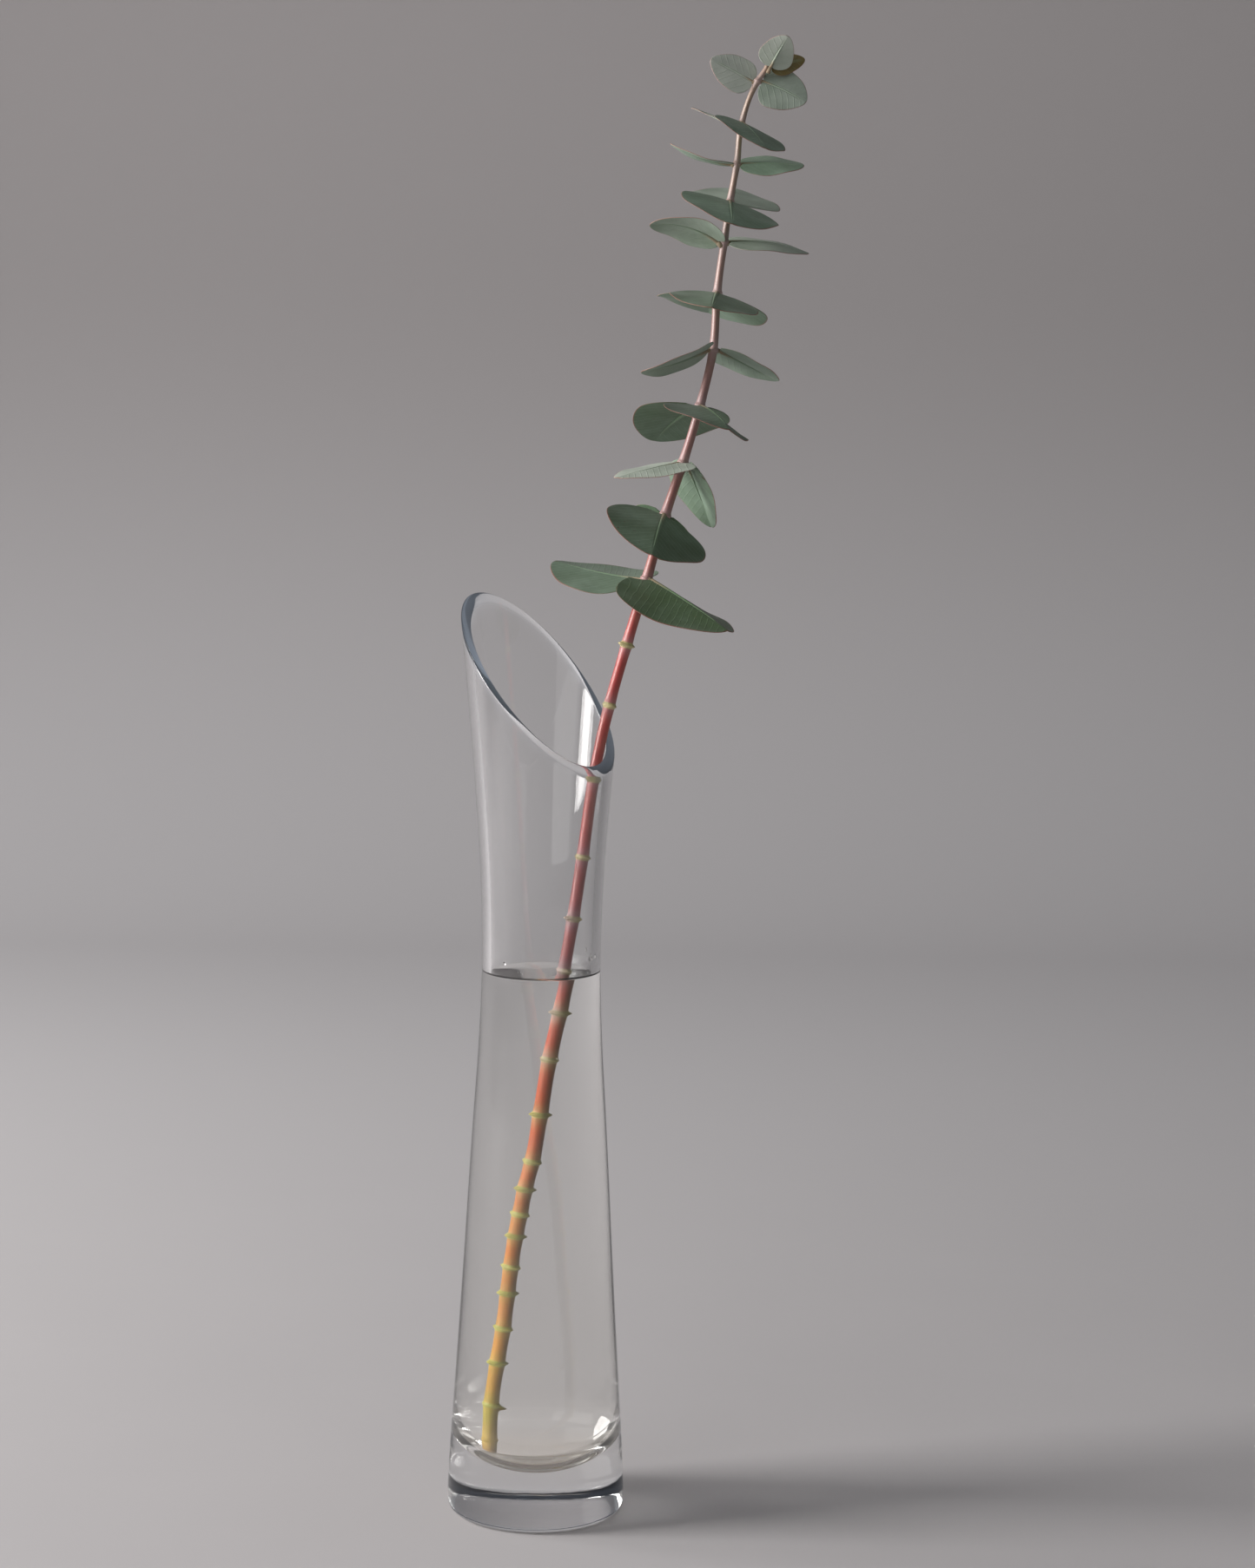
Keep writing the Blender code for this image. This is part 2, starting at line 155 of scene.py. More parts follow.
def place_piece(name, mesh, material, node):
    """Show the mesh in place of a CAD node, riding on the one body."""
    mesh.materials.append(material)
    piece = bpy.data.objects.new(name, mesh)
    bpy.context.scene.collection.objects.link(piece)
    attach(piece, "root")
    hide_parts(node)
    return piece


# %% [markdown]
# ## Writing a finish
#
# A finish is a small network of nodes. Written by hand it is long, so one class wraps an output
# socket and lets plain sums build the Math nodes, and another adds any node from its type, its
# settings and its inputs. Colours are mixed with Mix nodes, because Math nodes would turn them grey.
# The colours of the plant are written as a screen shows them and turned into the linear numbers
# that nodes take.


# %% Sockets that can be added and multiplied
class Value:
    """One output socket; an expression on it adds the Math nodes that work it out."""

    def __init__(self, finish, socket):
        self.finish = finish
        self.socket = socket

    def maths(self, operation, first, second=0.0):
        return self.finish.node("Math", {"operation": operation}, {0: first, 1: second})

    def __add__(self, other):
        return self.maths("ADD", self, other)

    def __radd__(self, other):
        return self.maths("ADD", other, self)

    def __sub__(self, other):
        return self.maths("SUBTRACT", self, other)

    def __rsub__(self, other):
        return self.maths("SUBTRACT", other, self)

    def __mul__(self, other):
        return self.maths("MULTIPLY", self, other)

    def __rmul__(self, other):
        return self.maths("MULTIPLY", other, self)

    def __truediv__(self, other):
        return self.maths("DIVIDE", self, other)

    def __pow__(self, other):
        return self.maths("POWER", self, other)

    def __abs__(self):
        return self.maths("ABSOLUTE", self)


class Finish:
    """A node material in the making, with one Principled shader."""

    def __init__(self, name, constants):
        self.material = bpy.data.materials.new(name)
        self.material.use_nodes = True
        self.tree = self.material.node_tree
        self.shader = self.tree.nodes["Principled BSDF"]
        for socket, value in constants.items():
            self.shader.inputs[socket].default_value = value

    def node(self, kind, settings=None, inputs=None, output=0):
        """Add a node of this kind: its settings first, then the values or links of its sockets."""
        node = self.tree.nodes.new("ShaderNode" + kind)
        for key, value in (settings or {}).items():
            if key == "stops":
                self.set_stops(node.color_ramp, value)
            else:
                setattr(node, key, value)
        for key, value in (inputs or {}).items():
            self.plug(node.inputs[key], value)
        return Value(self, node.outputs[output])

    def set_stops(self, ramp, stops):
        """Put the ramp's colours at their places, lowest first."""
        while len(ramp.elements) > 1:
            ramp.elements.remove(ramp.elements[-1])
        ramp.elements[0].position = stops[0][0]
        ramp.elements[0].color = (*stops[0][1], 1.0)
        for place, colour in stops[1:]:
            ramp.elements.new(place).color = (*colour, 1.0)

    def plug(self, socket, value):
        """Link a value to a socket, or set the socket's own number or colour."""
        if isinstance(value, Value):
            self.tree.links.new(value.socket, socket)
        elif isinstance(value, tuple) and len(value) == 3 and socket.type == "RGBA":
            socket.default_value = (*value, 1.0)
        else:
            socket.default_value = value

    def mark(self, key):
        """A number that the mesh carries at each point."""
        return self.node("Attribute", {"attribute_name": key}, output=2)

    def place(self, axis):
        """One coordinate of the piece, in metres."""
        spot = self.node("TexCoord", output=3)
        return self.node("SeparateXYZ", inputs={0: spot}, output=axis)

    def noise(self, scale, detail=3.0, roughness=0.5, stretch=(1.0, 1.0, 1.0)):
        """Soft random patches on the piece's own coordinates, from 0 to 1."""
        spot = self.node("Mapping", inputs={0: self.node("TexCoord", output=3), 3: stretch})
        return self.node("TexNoise", inputs={"Vector": spot, "Scale": scale, "Detail": detail,
                                             "Roughness": roughness})

    def step(self, value, low, high):
        """Rise smoothly from 0 to 1 as the value goes from low to high."""
        return self.node("MapRange", {"interpolation_type": "SMOOTHSTEP"},
                         {"Value": value, 1: low, 2: high})

    def blend(self, share, first, second):
        """Mix two colours by a share from 0 to 1."""
        return self.node("Mix", {"data_type": "RGBA"}, {0: share, 6: first, 7: second}, output=2)

    def paint(self, **ends):
        """Feed the shader's varying sockets."""
        for socket, value in ends.items():
            self.plug(self.shader.inputs[socket.replace("_", " ")], value)

    def relief(self, height, strength, distance):
        """A fine relief, as a Bump node that feeds the normal."""
        bump = self.node("Bump", inputs={"Height": height, "Strength": strength, "Distance": distance})
        self.plug(self.shader.inputs["Normal"], bump)


# %% Colours as a screen shows them
def srgb(red, green, blue):
    """A colour written as on a screen, from 0 to 255, as the linear numbers that nodes take."""
    share = np.array([red, green, blue]) / 255
    linear = np.where(share <= 0.04045, share / 12.92, ((share + 0.055) / 1.055) ** 2.4)
    return tuple(float(c) for c in linear)


# %% [markdown]
# ## Camera, floor and light
#
# The photo was taken from just over a metre away, a little above the rim, with a lens long enough
# to keep the vase's sides nearly parallel. A floor that curves up into a backdrop gives the glass
# one plain tone to bend; painted light makes it a little paler behind the vase, and painted shade
# makes it darker towards the top. The light is one tall soft window on the left, a weak fill from
# the front and a faint light all round. A last soft lamp washes the backdrop alone, as a wall
# beside a window is lit.

# %% The camera
CAMERA_PLACE = (0.02929, -1.108, 0.385)
CAMERA_TILT = 83.54
CAMERA_ROLL = 0.8
LENS = 73.62

camera_data = bpy.data.cameras.new("photo_camera")
camera_data.lens = LENS
camera_data.sensor_width = 36.0
camera_data.clip_end = 20.0
camera = bpy.data.objects.new("photo_camera", camera_data)
camera.matrix_world = (Matrix.Translation(CAMERA_PLACE)
                       @ Matrix.Rotation(math.radians(CAMERA_TILT), 4, "X")
                       @ Matrix.Rotation(math.radians(CAMERA_ROLL), 4, "Z"))
bpy.context.scene.collection.objects.link(camera)
bpy.context.scene.camera = camera
print("camera", tuple(round(c, 3) for c in camera.matrix_world.translation))

# %% The floor and backdrop
FLOOR_SIDES = (-3.0, 3.0)
FLOOR_FRONT = -2.6
WALL_PLACE = 1.90
WALL_HEIGHT = 3.0
SWEEP_RADIUS = 0.7
SWEEP_ROWS = 33


def sweep_profile():
    """Depth and height along the sheet: flat floor, a quarter circle, then an upright wall."""
    turn = np.linspace(0, math.pi / 2, SWEEP_ROWS)
    bend = WALL_PLACE - SWEEP_RADIUS + SWEEP_RADIUS * np.sin(turn)
    depth = np.concatenate([[FLOOR_FRONT], bend, [WALL_PLACE]])
    height = np.concatenate([[0.0], SWEEP_RADIUS * (1 - np.cos(turn)), [WALL_HEIGHT]])
    return depth, height


depth, height = sweep_profile()
across = np.array(FLOOR_SIDES)
sheet = np.stack(np.broadcast_arrays(across[None, :], depth[:, None], height[:, None]), axis=-1)
rows = np.arange(len(depth) - 1)[:, None] * 2
floor_mesh = bpy.data.meshes.new("floor")
floor_mesh.from_pydata(sheet.reshape(-1, 3).tolist(), [], (rows + np.array([0, 1, 3, 2])).tolist())
floor_mesh.shade_smooth()
print("sheet rows", len(depth))

# %% The paper's finish
NEAR_TONES = ((0.590, 0.568, 0.576), (0.630, 0.606, 0.614))
BEHIND_PAINTED_LIGHT_TONE = (0.715, 0.695, 0.705)
TOP_PAINTED_SHADE_TONE = (0.465, 0.44, 0.44)

backdrop = Finish("pale_paper", {"Roughness": 0.85, "Specular IOR Level": 0.2})
near = backdrop.blend(backdrop.noise(9.0, 4.0), *NEAR_TONES)
# Painted light makes the sheet paler towards the back, and painted shade darkens it towards the top.
paper = backdrop.blend(backdrop.step(backdrop.place(1), 0.0, 0.9), near, BEHIND_PAINTED_LIGHT_TONE)
upper = backdrop.step(backdrop.place(2), -0.05, 0.55)
backdrop.paint(Base_Color=backdrop.blend(upper, paper, TOP_PAINTED_SHADE_TONE))
floor_mesh.materials.append(backdrop.material)
floor = bpy.data.objects.new("floor", floor_mesh)
bpy.context.scene.collection.objects.link(floor)
print("floor faces", len(floor_mesh.polygons))


# %% The window light, the fill and the wash
WINDOW_SPREAD = 150.0


def soft_light(name, place, aim, size, power, colour):
    """A rectangular area light at a place, turned to face its aim."""
    light = bpy.data.lights.new(name, "AREA")
    light.shape = "RECTANGLE"
    light.size = size[0]
    light.size_y = size[1]
    light.energy = power
    light.color = colour
    lamp = bpy.data.objects.new(name, light)
    lamp.location = place
    lamp.rotation_euler = (Vector(aim) - Vector(place)).to_track_quat("-Z", "Y").to_euler()
    bpy.context.scene.collection.objects.link(lamp)
    return lamp


window = soft_light("window", (-1.40, -0.20, 0.8325), (0.0, -0.20, 0.8325), (0.58, 1.155), 21.3,
                    (1.0, 0.98, 0.96))
window.data.spread = math.radians(WINDOW_SPREAD)
room = soft_light("room", (-1.2, -1.5, 0.9), (0.0, 0.0, 0.3), (1.6, 1.6), 7.0, (1.0, 0.985, 0.97))
wash = soft_light("wash", (-1.5, 0.5, 0.75), (-0.4, 1.4, 0.10), (0.7, 0.7), 9.5, (1.0, 0.98, 0.97))
for lamp in (room, wash):
    lamp.visible_glossy = False
bpy.context.scene.view_settings.view_transform = "Standard"

world = bpy.data.worlds.new("even_fill")
world.use_nodes = True
sky = world.node_tree.nodes["Background"]
sky.inputs["Color"].default_value = (0.94, 0.965, 1.0, 1.0)
sky.inputs["Strength"].default_value = 0.17
bpy.context.scene.world = world

# %% [markdown]
# ## The vase
#
# The vase is blown glass with a heavy foot, a waist, and a rim cut on a steep slant and fire
# polished round. It is a turned shape up to the neck, so its outline is a radius for each height.
# Above the neck each ring leans a little more, until the last one lies in the slanting cut. The
# rings go up the outside, over the rim, down the inside and across the floor of the well.

# %% Measures of the vase
VASE_HEIGHTS = (0.0, 0.0012, 0.0040, 0.0110, 0.0425, 0.0680, 0.0930, 0.1180,
                0.1430, 0.1680, 0.1930, 0.2120, 0.2300, 0.2600, 0.2900, 0.3250)
VASE_RADII = (0.0292, 0.0305, 0.0312, 0.0311, 0.0293, 0.0277, 0.0262, 0.0248,
              0.0233, 0.0217, 0.0208, 0.0210, 0.0217, 0.0239, 0.0266, 0.0298)
NECK_HEIGHT = 0.2000
WALL_HEIGHTS = (0.0330, 0.0600, 0.0930, 0.1430, 0.1900, 0.2300, 0.3300)
WALL_THICKNESSES = (0.0068, 0.0060, 0.0048, 0.0037, 0.0032, 0.0032, 0.0032)
WELL_TOP = 0.0330
BASE_THICKNESS = 0.0160
RIM_HEIGHT = 0.2907
RIM_RISE_X = -0.90
RIM_RISE_Y = 0.68
RIM_CROWN = 0.0010
FOOT_CORNER = 0.0034
FOOT_HOLLOW = 0.0006
VASE_SIDES = 192
round_vase = np.arange(VASE_SIDES) * 2 * math.pi / VASE_SIDES


def outer_radius(height):
    """Radius of the vase's outer wall at a height."""
    return smooth(VASE_HEIGHTS, VASE_RADII, height)


def inner_radius(height):
    """Radius of the inner wall, which is thicker towards the foot."""
    return outer_radius(height) - smooth(WALL_HEIGHTS, WALL_THICKNESSES, height)


def turned(radius, height):
    """Rings round the vase's axis, one for each row of radii and heights."""
    radius, height = np.broadcast_arrays(radius, height, subok=False)
    shape = np.broadcast_shapes(radius.shape, (1, VASE_SIDES))
    radius = np.broadcast_to(radius, shape)
    height = np.broadcast_to(height, shape)
    return np.stack([radius * np.cos(round_vase), radius * np.sin(round_vase), height], axis=-1)


print("foot", round(2000 * max(VASE_RADII), 1), "mm across")

# %% The vase's surface
FOOT_ROWS = 14
CORNER_ROWS = 9
WALL_ROWS = 64
LEANING_ROWS = 56
RIM_ROWS = 12
WELL_ROWS = 31
WELL_TURN = 88.0
RIM_REPEATS = 40


def rim_top(radius_at):
    """Height where a wall of that radius meets the slanting cut at each angle.

    The cut is a plane, so its height at the wall depends on the wall's radius there. Going half of
    the way to the plane again and again settles on the place where both agree.
    """
    height = np.full(VASE_SIDES, RIM_HEIGHT)
    for _ in range(RIM_REPEATS):
        radius = radius_at(height)
        across, deep = radius * np.cos(round_vase), radius * np.sin(round_vase)
        height = 0.5 * height + 0.5 * (RIM_HEIGHT + RIM_RISE_X * across + RIM_RISE_Y * deep)
    return height


def vase_wall(radius_at, lowest):
    """Level rings up to the neck, then rings that lean until they lie in the cut."""
    level = np.linspace(lowest, NECK_HEIGHT, WALL_ROWS)[:, None]
    share = np.linspace(0, 1, LEANING_ROWS + 1)[1:, None]
    height = NECK_HEIGHT + (rim_top(radius_at)[None, :] - NECK_HEIGHT) * share
    return np.concatenate([turned(radius_at(level), level), turned(radius_at(height), height)])


def foot_rings():
    """The slightly hollow foot, and the quarter round from it to the outer wall."""
    flat = outer_radius(FOOT_CORNER) - FOOT_CORNER
    radius = np.linspace(0.001, flat, FOOT_ROWS)[:, None]
    hollow = FOOT_HOLLOW * (1 - (radius / flat) ** 2) ** 2
    turn = np.linspace(0, math.pi / 2, CORNER_ROWS + 1)[1:, None]
    corner = outer_radius(FOOT_CORNER) - FOOT_CORNER * (1 - np.sin(turn))
    return np.concatenate([turned(radius, hollow), turned(corner, FOOT_CORNER * (1 - np.cos(turn)))])


def well_rings(grow):
    """The well's round bottom: a quarter ellipse from the inner wall down to near the axis."""
    turn = np.radians(np.linspace(0, WELL_TURN, WELL_ROWS + 1))[1:, None]
    radius = (inner_radius(WELL_TOP) + grow) * np.cos(turn)
    return turned(radius, WELL_TOP - (WELL_TOP - BASE_THICKNESS + grow) * np.sin(turn))


foot = foot_rings()
outer = vase_wall(outer_radius, FOOT_CORNER + 0.0008)
inner = vase_wall(inner_radius, WELL_TOP)[::-1]
turn = np.linspace(0, math.pi, RIM_ROWS + 2)[1:-1, None, None]
rim = outer[-1] + (inner[0] - outer[-1]) * (1 - np.cos(turn)) / 2
rim[..., 2] += RIM_CROWN * np.sin(turn[..., 0])
vase_rings = np.concatenate([foot, outer, rim, inner, well_rings(0.0)])
print("vase rings", vase_rings.shape)

# %% [markdown]
# ## Clear glass
#
# Glass bends light at its surface, so it is a Principled shader with full transmission. What the
# eye reads as glass is what it bends and mirrors: here the dark edges of the walls, the bright
# window and the heavy foot. Hand-blown glass is never quite even, so a very low, wide relief
# makes its highlights waver, a finer ripple stirs the foot, and a few faint smears make the
# highlights a little softer in places.
#
# Real glass also carries light along its wall and gathers it in thick places, which the renderer
# does not trace. A faint glow stands in for it in four places: on the rim where it faces left and
# right, at the lower edge of the foot, on the round well, and in a band where the wall bends into
# the well. The mesh carries one mark for each place, from 0 to 1.

# %% Marks where the glass gathers light
RIM_GLOW_HEADING = 20.0
RIM_GLOW_LEAST = 0.12
FOOT_GLOW_HEIGHT = 0.0035
BOWL_GLOW_HEIGHTS = (0.0300, 0.0200)
BEND_GLOW_HEIGHT = 0.0275
BEND_GLOW_WIDTH = 0.0055

row = np.arange(len(vase_rings))[:, None]
first_rim_row = len(foot) + len(outer)
from_rim = np.abs(row - first_rim_row - (RIM_ROWS - 1) / 2)
facing = np.cos(round_vase - math.radians(RIM_GLOW_HEADING)) ** 2
inside = row > first_rim_row + RIM_ROWS
ring_height = vase_rings[..., 2]
vase_marks = {
    "rim": (np.clip(1.5 - from_rim / (RIM_ROWS / 2), 0, 1)
            * (RIM_GLOW_LEAST + (1 - RIM_GLOW_LEAST) * facing)[None, :]),
    "foot": np.clip(1.5 - ring_height / FOOT_GLOW_HEIGHT, 0, 1) * (row < first_rim_row),
    "bowl": smooth_rise(*BOWL_GLOW_HEIGHTS, ring_height) * inside,
    "bend": bell(ring_height - BEND_GLOW_HEIGHT, BEND_GLOW_WIDTH) * inside,
}
print("marks", {key: round(float(value.max()), 2) for key, value in vase_marks.items()})

# %% The glass finish and the vase piece
BLACK = (0.0, 0.0, 0.0)
FOOT_TINT = (0.965, 0.975, 0.980)
WALL_TINT = (0.985, 0.985, 0.985)
FOOT_GLOW = (0.012, 0.014, 0.018)
BOWL_GLOW = (0.052, 0.036, 0.020)
BEND_GLOW = (0.100, 0.094, 0.088)
RIM_GLOW = (0.092, 0.105, 0.125)

glass = Finish("clear_glass", {"Transmission Weight": 1.0, "IOR": 1.50, "Emission Strength": 1.0})
in_wall = glass.step(glass.place(2), 0.0, 0.03)
smear = glass.step(glass.noise(45.0, 4.0, 0.6, (1.0, 1.0, 0.35)), 0.55, 0.75)
glass.paint(Base_Color=glass.blend(in_wall, FOOT_TINT, WALL_TINT), Roughness=smear * 0.012)
glow = glass.blend(glass.mark("foot"), BLACK, FOOT_GLOW)
glow = glass.blend(glass.mark("bowl"), glow, BOWL_GLOW)
glow = glass.blend(glass.mark("bend") * 0.8, glow, BEND_GLOW)
glass.paint(Emission_Color=glass.blend(glass.mark("rim"), glow, RIM_GLOW))
in_foot = 1 - glass.step(glass.place(2), 0.010, 0.022)
ripple = glass.noise(110.0, 2.0, 0.5, (1.0, 1.0, 1.6)) * in_foot
glass.relief(glass.noise(16.0, 1.0, 0.4, (1.0, 1.0, 0.25)) + ripple * 0.7, 0.10, 0.0010)
vase = place_piece("glass_vase", make_mesh("glass_vase", [grid_skin(vase_rings, vase_marks, "pole")]),
                   glass.material, "vase")
print("vase faces", len(vase.data.polygons))

# %% [markdown]
# ## The stem's route
#
# A young shoot does not run straight: it turns a little at every joint, where a pair of leaves
# grew. Its centre line is a smooth curve through the joints, and it leans slightly backwards.

# %% The joints of the stem
STEM_FOOT = (0.0205, -0.0129)
BARE_NODES = ((0.0256, -0.0126), (0.0391, -0.0122), (0.0543, -0.0107), (0.0669, -0.0092),
              (0.0796, -0.0081), (0.0891, -0.0073), (0.1002, -0.0061), (0.1081, -0.0050),
              (0.1171, -0.0037), (0.1270, -0.0018), (0.1437, 0.0003), (0.1634, 0.0027),
              (0.1799, 0.0055), (0.1944, 0.0079), (0.2128, 0.0108), (0.2343, 0.0138),
              (0.2614, 0.0174), (0.2870, 0.0226), (0.3080, 0.0283))
LEAFY_NODES = ((0.3308, 0.0349), (0.3530, 0.0410), (0.3709, 0.0468), (0.3905, 0.0524),
               (0.4097, 0.0566), (0.4291, 0.0577), (0.4465, 0.0598), (0.4600, 0.0616),
               (0.4729, 0.0637), (0.4864, 0.0651), (0.5007, 0.0703), (0.5055, 0.0733))
STEM_TIP = (0.5070, 0.0738)
DEPTH_HEIGHTS = (0.0205, 0.1200, 0.1944, 0.2870, 0.3970, 0.5070)
DEPTHS = (-0.0020, -0.0036, -0.0043, -0.0012, 0.0024, 0.0061)
STEM_THICKNESS_HEIGHTS = (0.0200, 0.1900, 0.2870, 0.3300, 0.4300, 0.5000, 0.5070)
STEM_THICKNESSES = (0.0040, 0.0041, 0.0037, 0.0034, 0.0025, 0.0016, 0.0014)


def stem_centre(height):
    """Centre line: a smooth curve across through the joints, and another one in depth."""
    route = (STEM_FOOT, *BARE_NODES, *LEAFY_NODES, STEM_TIP)
    across = smooth([step[0] for step in route], [step[1] for step in route], height)
    deep = smooth(DEPTH_HEIGHTS, DEPTHS, height)
    return np.stack([across, deep, height], axis=-1)


def stem_radius(height):
    """Half the stem's thickness, which falls evenly between a few measured places."""
    return np.interp(height, STEM_THICKNESS_HEIGHTS, STEM_THICKNESSES) / 2


# %% [markdown]
# ## The water
#
# The water fills the well and climbs a little at the glass and at the stem, because it wets both.
# That bright and dark line is what shows that there is water at all. Where water touches glass
# there is no air, so the water's skin runs 0.2 mm inside the glass: light then bends once at each
# skin and comes out at the right angle. A skin just short of the glass would look silvered.
#
# The rings crowd together where the side turns sharply into the top. Smooth shading spreads that
# turn over the rows beside it, and with wide rows it would draw a dark arc over the whole top.

# %% The water's surface
WATER_LEVEL = 0.1923
WATER_OVERLAP = 0.0002
WALL_CLIMB = 0.0014
WALL_REACH = 0.0013
STEM_CLIMB = 0.0008
STEM_REACH = 0.0008


def water_top(radius):
    """Height of the water: its level, and a climb that fades away from the wall and the stem."""
    wall = inner_radius(WATER_LEVEL)
    spot = stem_centre(np.array(WATER_LEVEL))
    x, y = radius * np.cos(round_vase), radius * np.sin(round_vase)
    from_stem = np.hypot(x - spot[0], y - spot[1]) - stem_radius(WATER_LEVEL)
    climb = WALL_CLIMB * np.exp(-np.maximum(wall - radius, 0) / WALL_REACH)
    return WATER_LEVEL + climb + STEM_CLIMB * np.exp(-np.maximum(from_stem, 0) / STEM_REACH)


# %% The rings of the water
CORNER_STEPS = np.array([0.0001, 0.00005])

wall_radius = inner_radius(WATER_LEVEL)
top_edge = WATER_LEVEL + WALL_CLIMB
level = np.concatenate([np.linspace(WELL_TOP, top_edge - 0.0002, 72), top_edge - CORNER_STEPS])[:, None]
side = turned(inner_radius(level) + WATER_OVERLAP, level)
near_wall = np.geomspace(0.00003, 0.0005, 14)
open_water = np.linspace(0.0007, wall_radius - 0.0004, 80)
spread = wall_radius - np.concatenate([-CORNER_STEPS, near_wall, open_water])[:, None]
under = well_rings(WATER_OVERLAP)[::-1]
water_rings = np.concatenate([under, side, turned(spread, water_top(spread))])
print("water rings", water_rings.shape)

# %% [markdown]
# ## Drops on the wall
#
# A few drops cling to the glass just above the water, left there when the vase was filled. Each is
# a ball pressed flat against the wall and drawn out a little downwards by its weight. They are
# further skins of the water's own mesh, so that they share its finish.

# %% The drops
DROP_ROWS = 14
DROP_SIDES = 20
DROP_POLE = 0.06
DROP_SINK = 0.7
DROP_STRETCH = 1.15
DROP_SAG = 0.25
Drop = namedtuple("Drop", "turn height size flat")
DROPS = (Drop(-0.42, 0.1992, 0.0007, 0.55), Drop(-0.30, 0.1998, 0.0009, 0.50),
         Drop(-0.06, 0.1989, 0.0006, 0.55), Drop(0.35, 0.2004, 0.0006, 0.50),
         Drop(-2.30, 0.1981, 0.0005, 0.55))


def drop_skin(drop):
    """A ball flattened along the wall's outward direction and stretched below its middle."""
    fall = np.linspace(DROP_POLE, math.pi - DROP_POLE, DROP_ROWS)[:, None]
    round_drop = np.arange(DROP_SIDES)[None, :] * 2 * math.pi / DROP_SIDES
    outward = np.array([math.cos(drop.turn), math.sin(drop.turn), 0.0])
    aside = np.array([-math.sin(drop.turn), math.cos(drop.turn), 0.0])
    middle = outward * (inner_radius(drop.height) - drop.size * drop.flat * DROP_SINK)
    middle[2] = drop.height
    ball = (np.sin(fall) * np.cos(round_drop))[..., None] * outward * drop.flat
    ball = ball + (np.sin(fall) * np.sin(round_drop))[..., None] * aside
    ball[..., 2] = np.cos(fall) * (DROP_STRETCH + DROP_SAG * (np.cos(fall) < 0))
    return grid_skin(middle + ball * drop.size, {}, "pole")


drops = [drop_skin(drop) for drop in DROPS]
print("drops", len(drops))

# %% The water finish and the water piece
DEEP_WATER = (0.965, 0.962, 0.940)
TOP_WATER = (0.975, 0.972, 0.958)

water_finish = Finish("still_water", {"Transmission Weight": 1.0, "IOR": 1.333, "Roughness": 0.0})
rise = water_finish.step(water_finish.place(2), 0.02, 0.19)
water_finish.paint(Base_Color=water_finish.blend(rise, DEEP_WATER, TOP_WATER))
water_finish.relief(water_finish.noise(60.0, 1.0), 0.02, 0.0005)
water = place_piece("vase_water", make_mesh("vase_water", [grid_skin(water_rings, {}, "pole"), *drops]),
                    water_finish.material, "water")
print("water faces", len(water.data.polygons))

# %% [markdown]
# ## The stem
#
# The stem is a long tube carried along its route. At every joint it swells into a ring, and where
# leaves have fallen two old scars stand out, a half turn apart and a quarter turn on from the
# joint below. The lowest joints, which have stood longest in water, are worn smoother. The rows
# are packed closely at the joints, where the shape changes fast.

# %% Rows and radii of the stem
STEM_START = 0.0206
ROW_STEP = 0.001
JOINT_STEP = 0.0002
LEAST_STEP = 0.00008
RING_SWELL = 0.0004
RING_WIDTH = 0.0006
SCAR_SWELL = 0.0011
FIRST_SCAR_HEADING = 35.0
FLARE_SWELL = 0.00016
FLARE_WIDTH = 0.0035
WORN_HEIGHTS = (0.030, 0.055)
WORN_LEAST = 0.35
RIB_SWELL = 0.00005
ROOT_NUB_LENGTH = 0.0022
ROOT_NUB_WIDTH = 0.0006
ROOT_NUB_DROOP = 0.0012

bare_heights = np.array([joint[0] for joint in BARE_NODES])
leafy_heights = np.array([joint[0] for joint in LEAFY_NODES])
joint_heights = np.concatenate([bare_heights, leafy_heights[:-1]])


def stem_rows():
    """Heights of the rows: every millimetre, and every fifth of one near a joint."""
    near = (joint_heights[:, None] + np.arange(-10, 11) * JOINT_STEP).ravel()
    rows = np.concatenate([np.arange(STEM_START, STEM_TIP[0], ROW_STEP), near])
    rows = np.unique(np.round(rows[(rows > STEM_FOOT[0]) & (rows < STEM_TIP[0])], 5))
    return rows[np.concatenate([[True], np.diff(rows) > LEAST_STEP])]


def stem_swell(rows, turns):
    """Extra radius: a ring at each joint, two scars at each bare one, and one root nub.

    Rings and nub are bells along the stem, a scar is a bell times the sixth power of the cosine
    of the angle from its heading, and four low ribs run the whole length.
    """
    kept = (WORN_LEAST + (1 - WORN_LEAST) * smooth_rise(*WORN_HEIGHTS, joint_heights))[None, :]
    rings = kept * bells_at(rows, joint_heights, RING_WIDTH)
    heading = np.radians(FIRST_SCAR_HEADING + 90 * (np.arange(len(bare_heights)) % 2))
    lobes = np.cos(turns[None, :] - heading[:, None]) ** 6
    scars = SCAR_SWELL * rings[:, :len(bare_heights)] @ lobes
    flare = FLARE_SWELL * bells_at(rows, joint_heights, FLARE_WIDTH).sum(axis=1)[:, None]
    toward_right = np.clip(np.cos(turns), 0, 1)[None, :] ** 14
    from_nub = rows[:, None] + ROOT_NUB_DROOP * toward_right - bare_heights[1]
    nub = ROOT_NUB_LENGTH * toward_right * bell(from_nub, ROOT_NUB_WIDTH)
    ribs = RIB_SWELL * np.cos(4 * turns)[None, :]
    return RING_SWELL * rings.sum(axis=1)[:, None] + flare + scars + nub + ribs


rows = stem_rows()

# %% The stem's skin and its marks
STEM_SIDES = 32
CUT_SLANT = 0.0005
CUT_REACH = 0.004
TIP_GIRTH = 0.7
GREEN_JOINT_HEIGHTS = (0.015, 0.050)
GREEN_JOINT_WIDTH = 0.0011
LIGHT_HEADING = 10.0

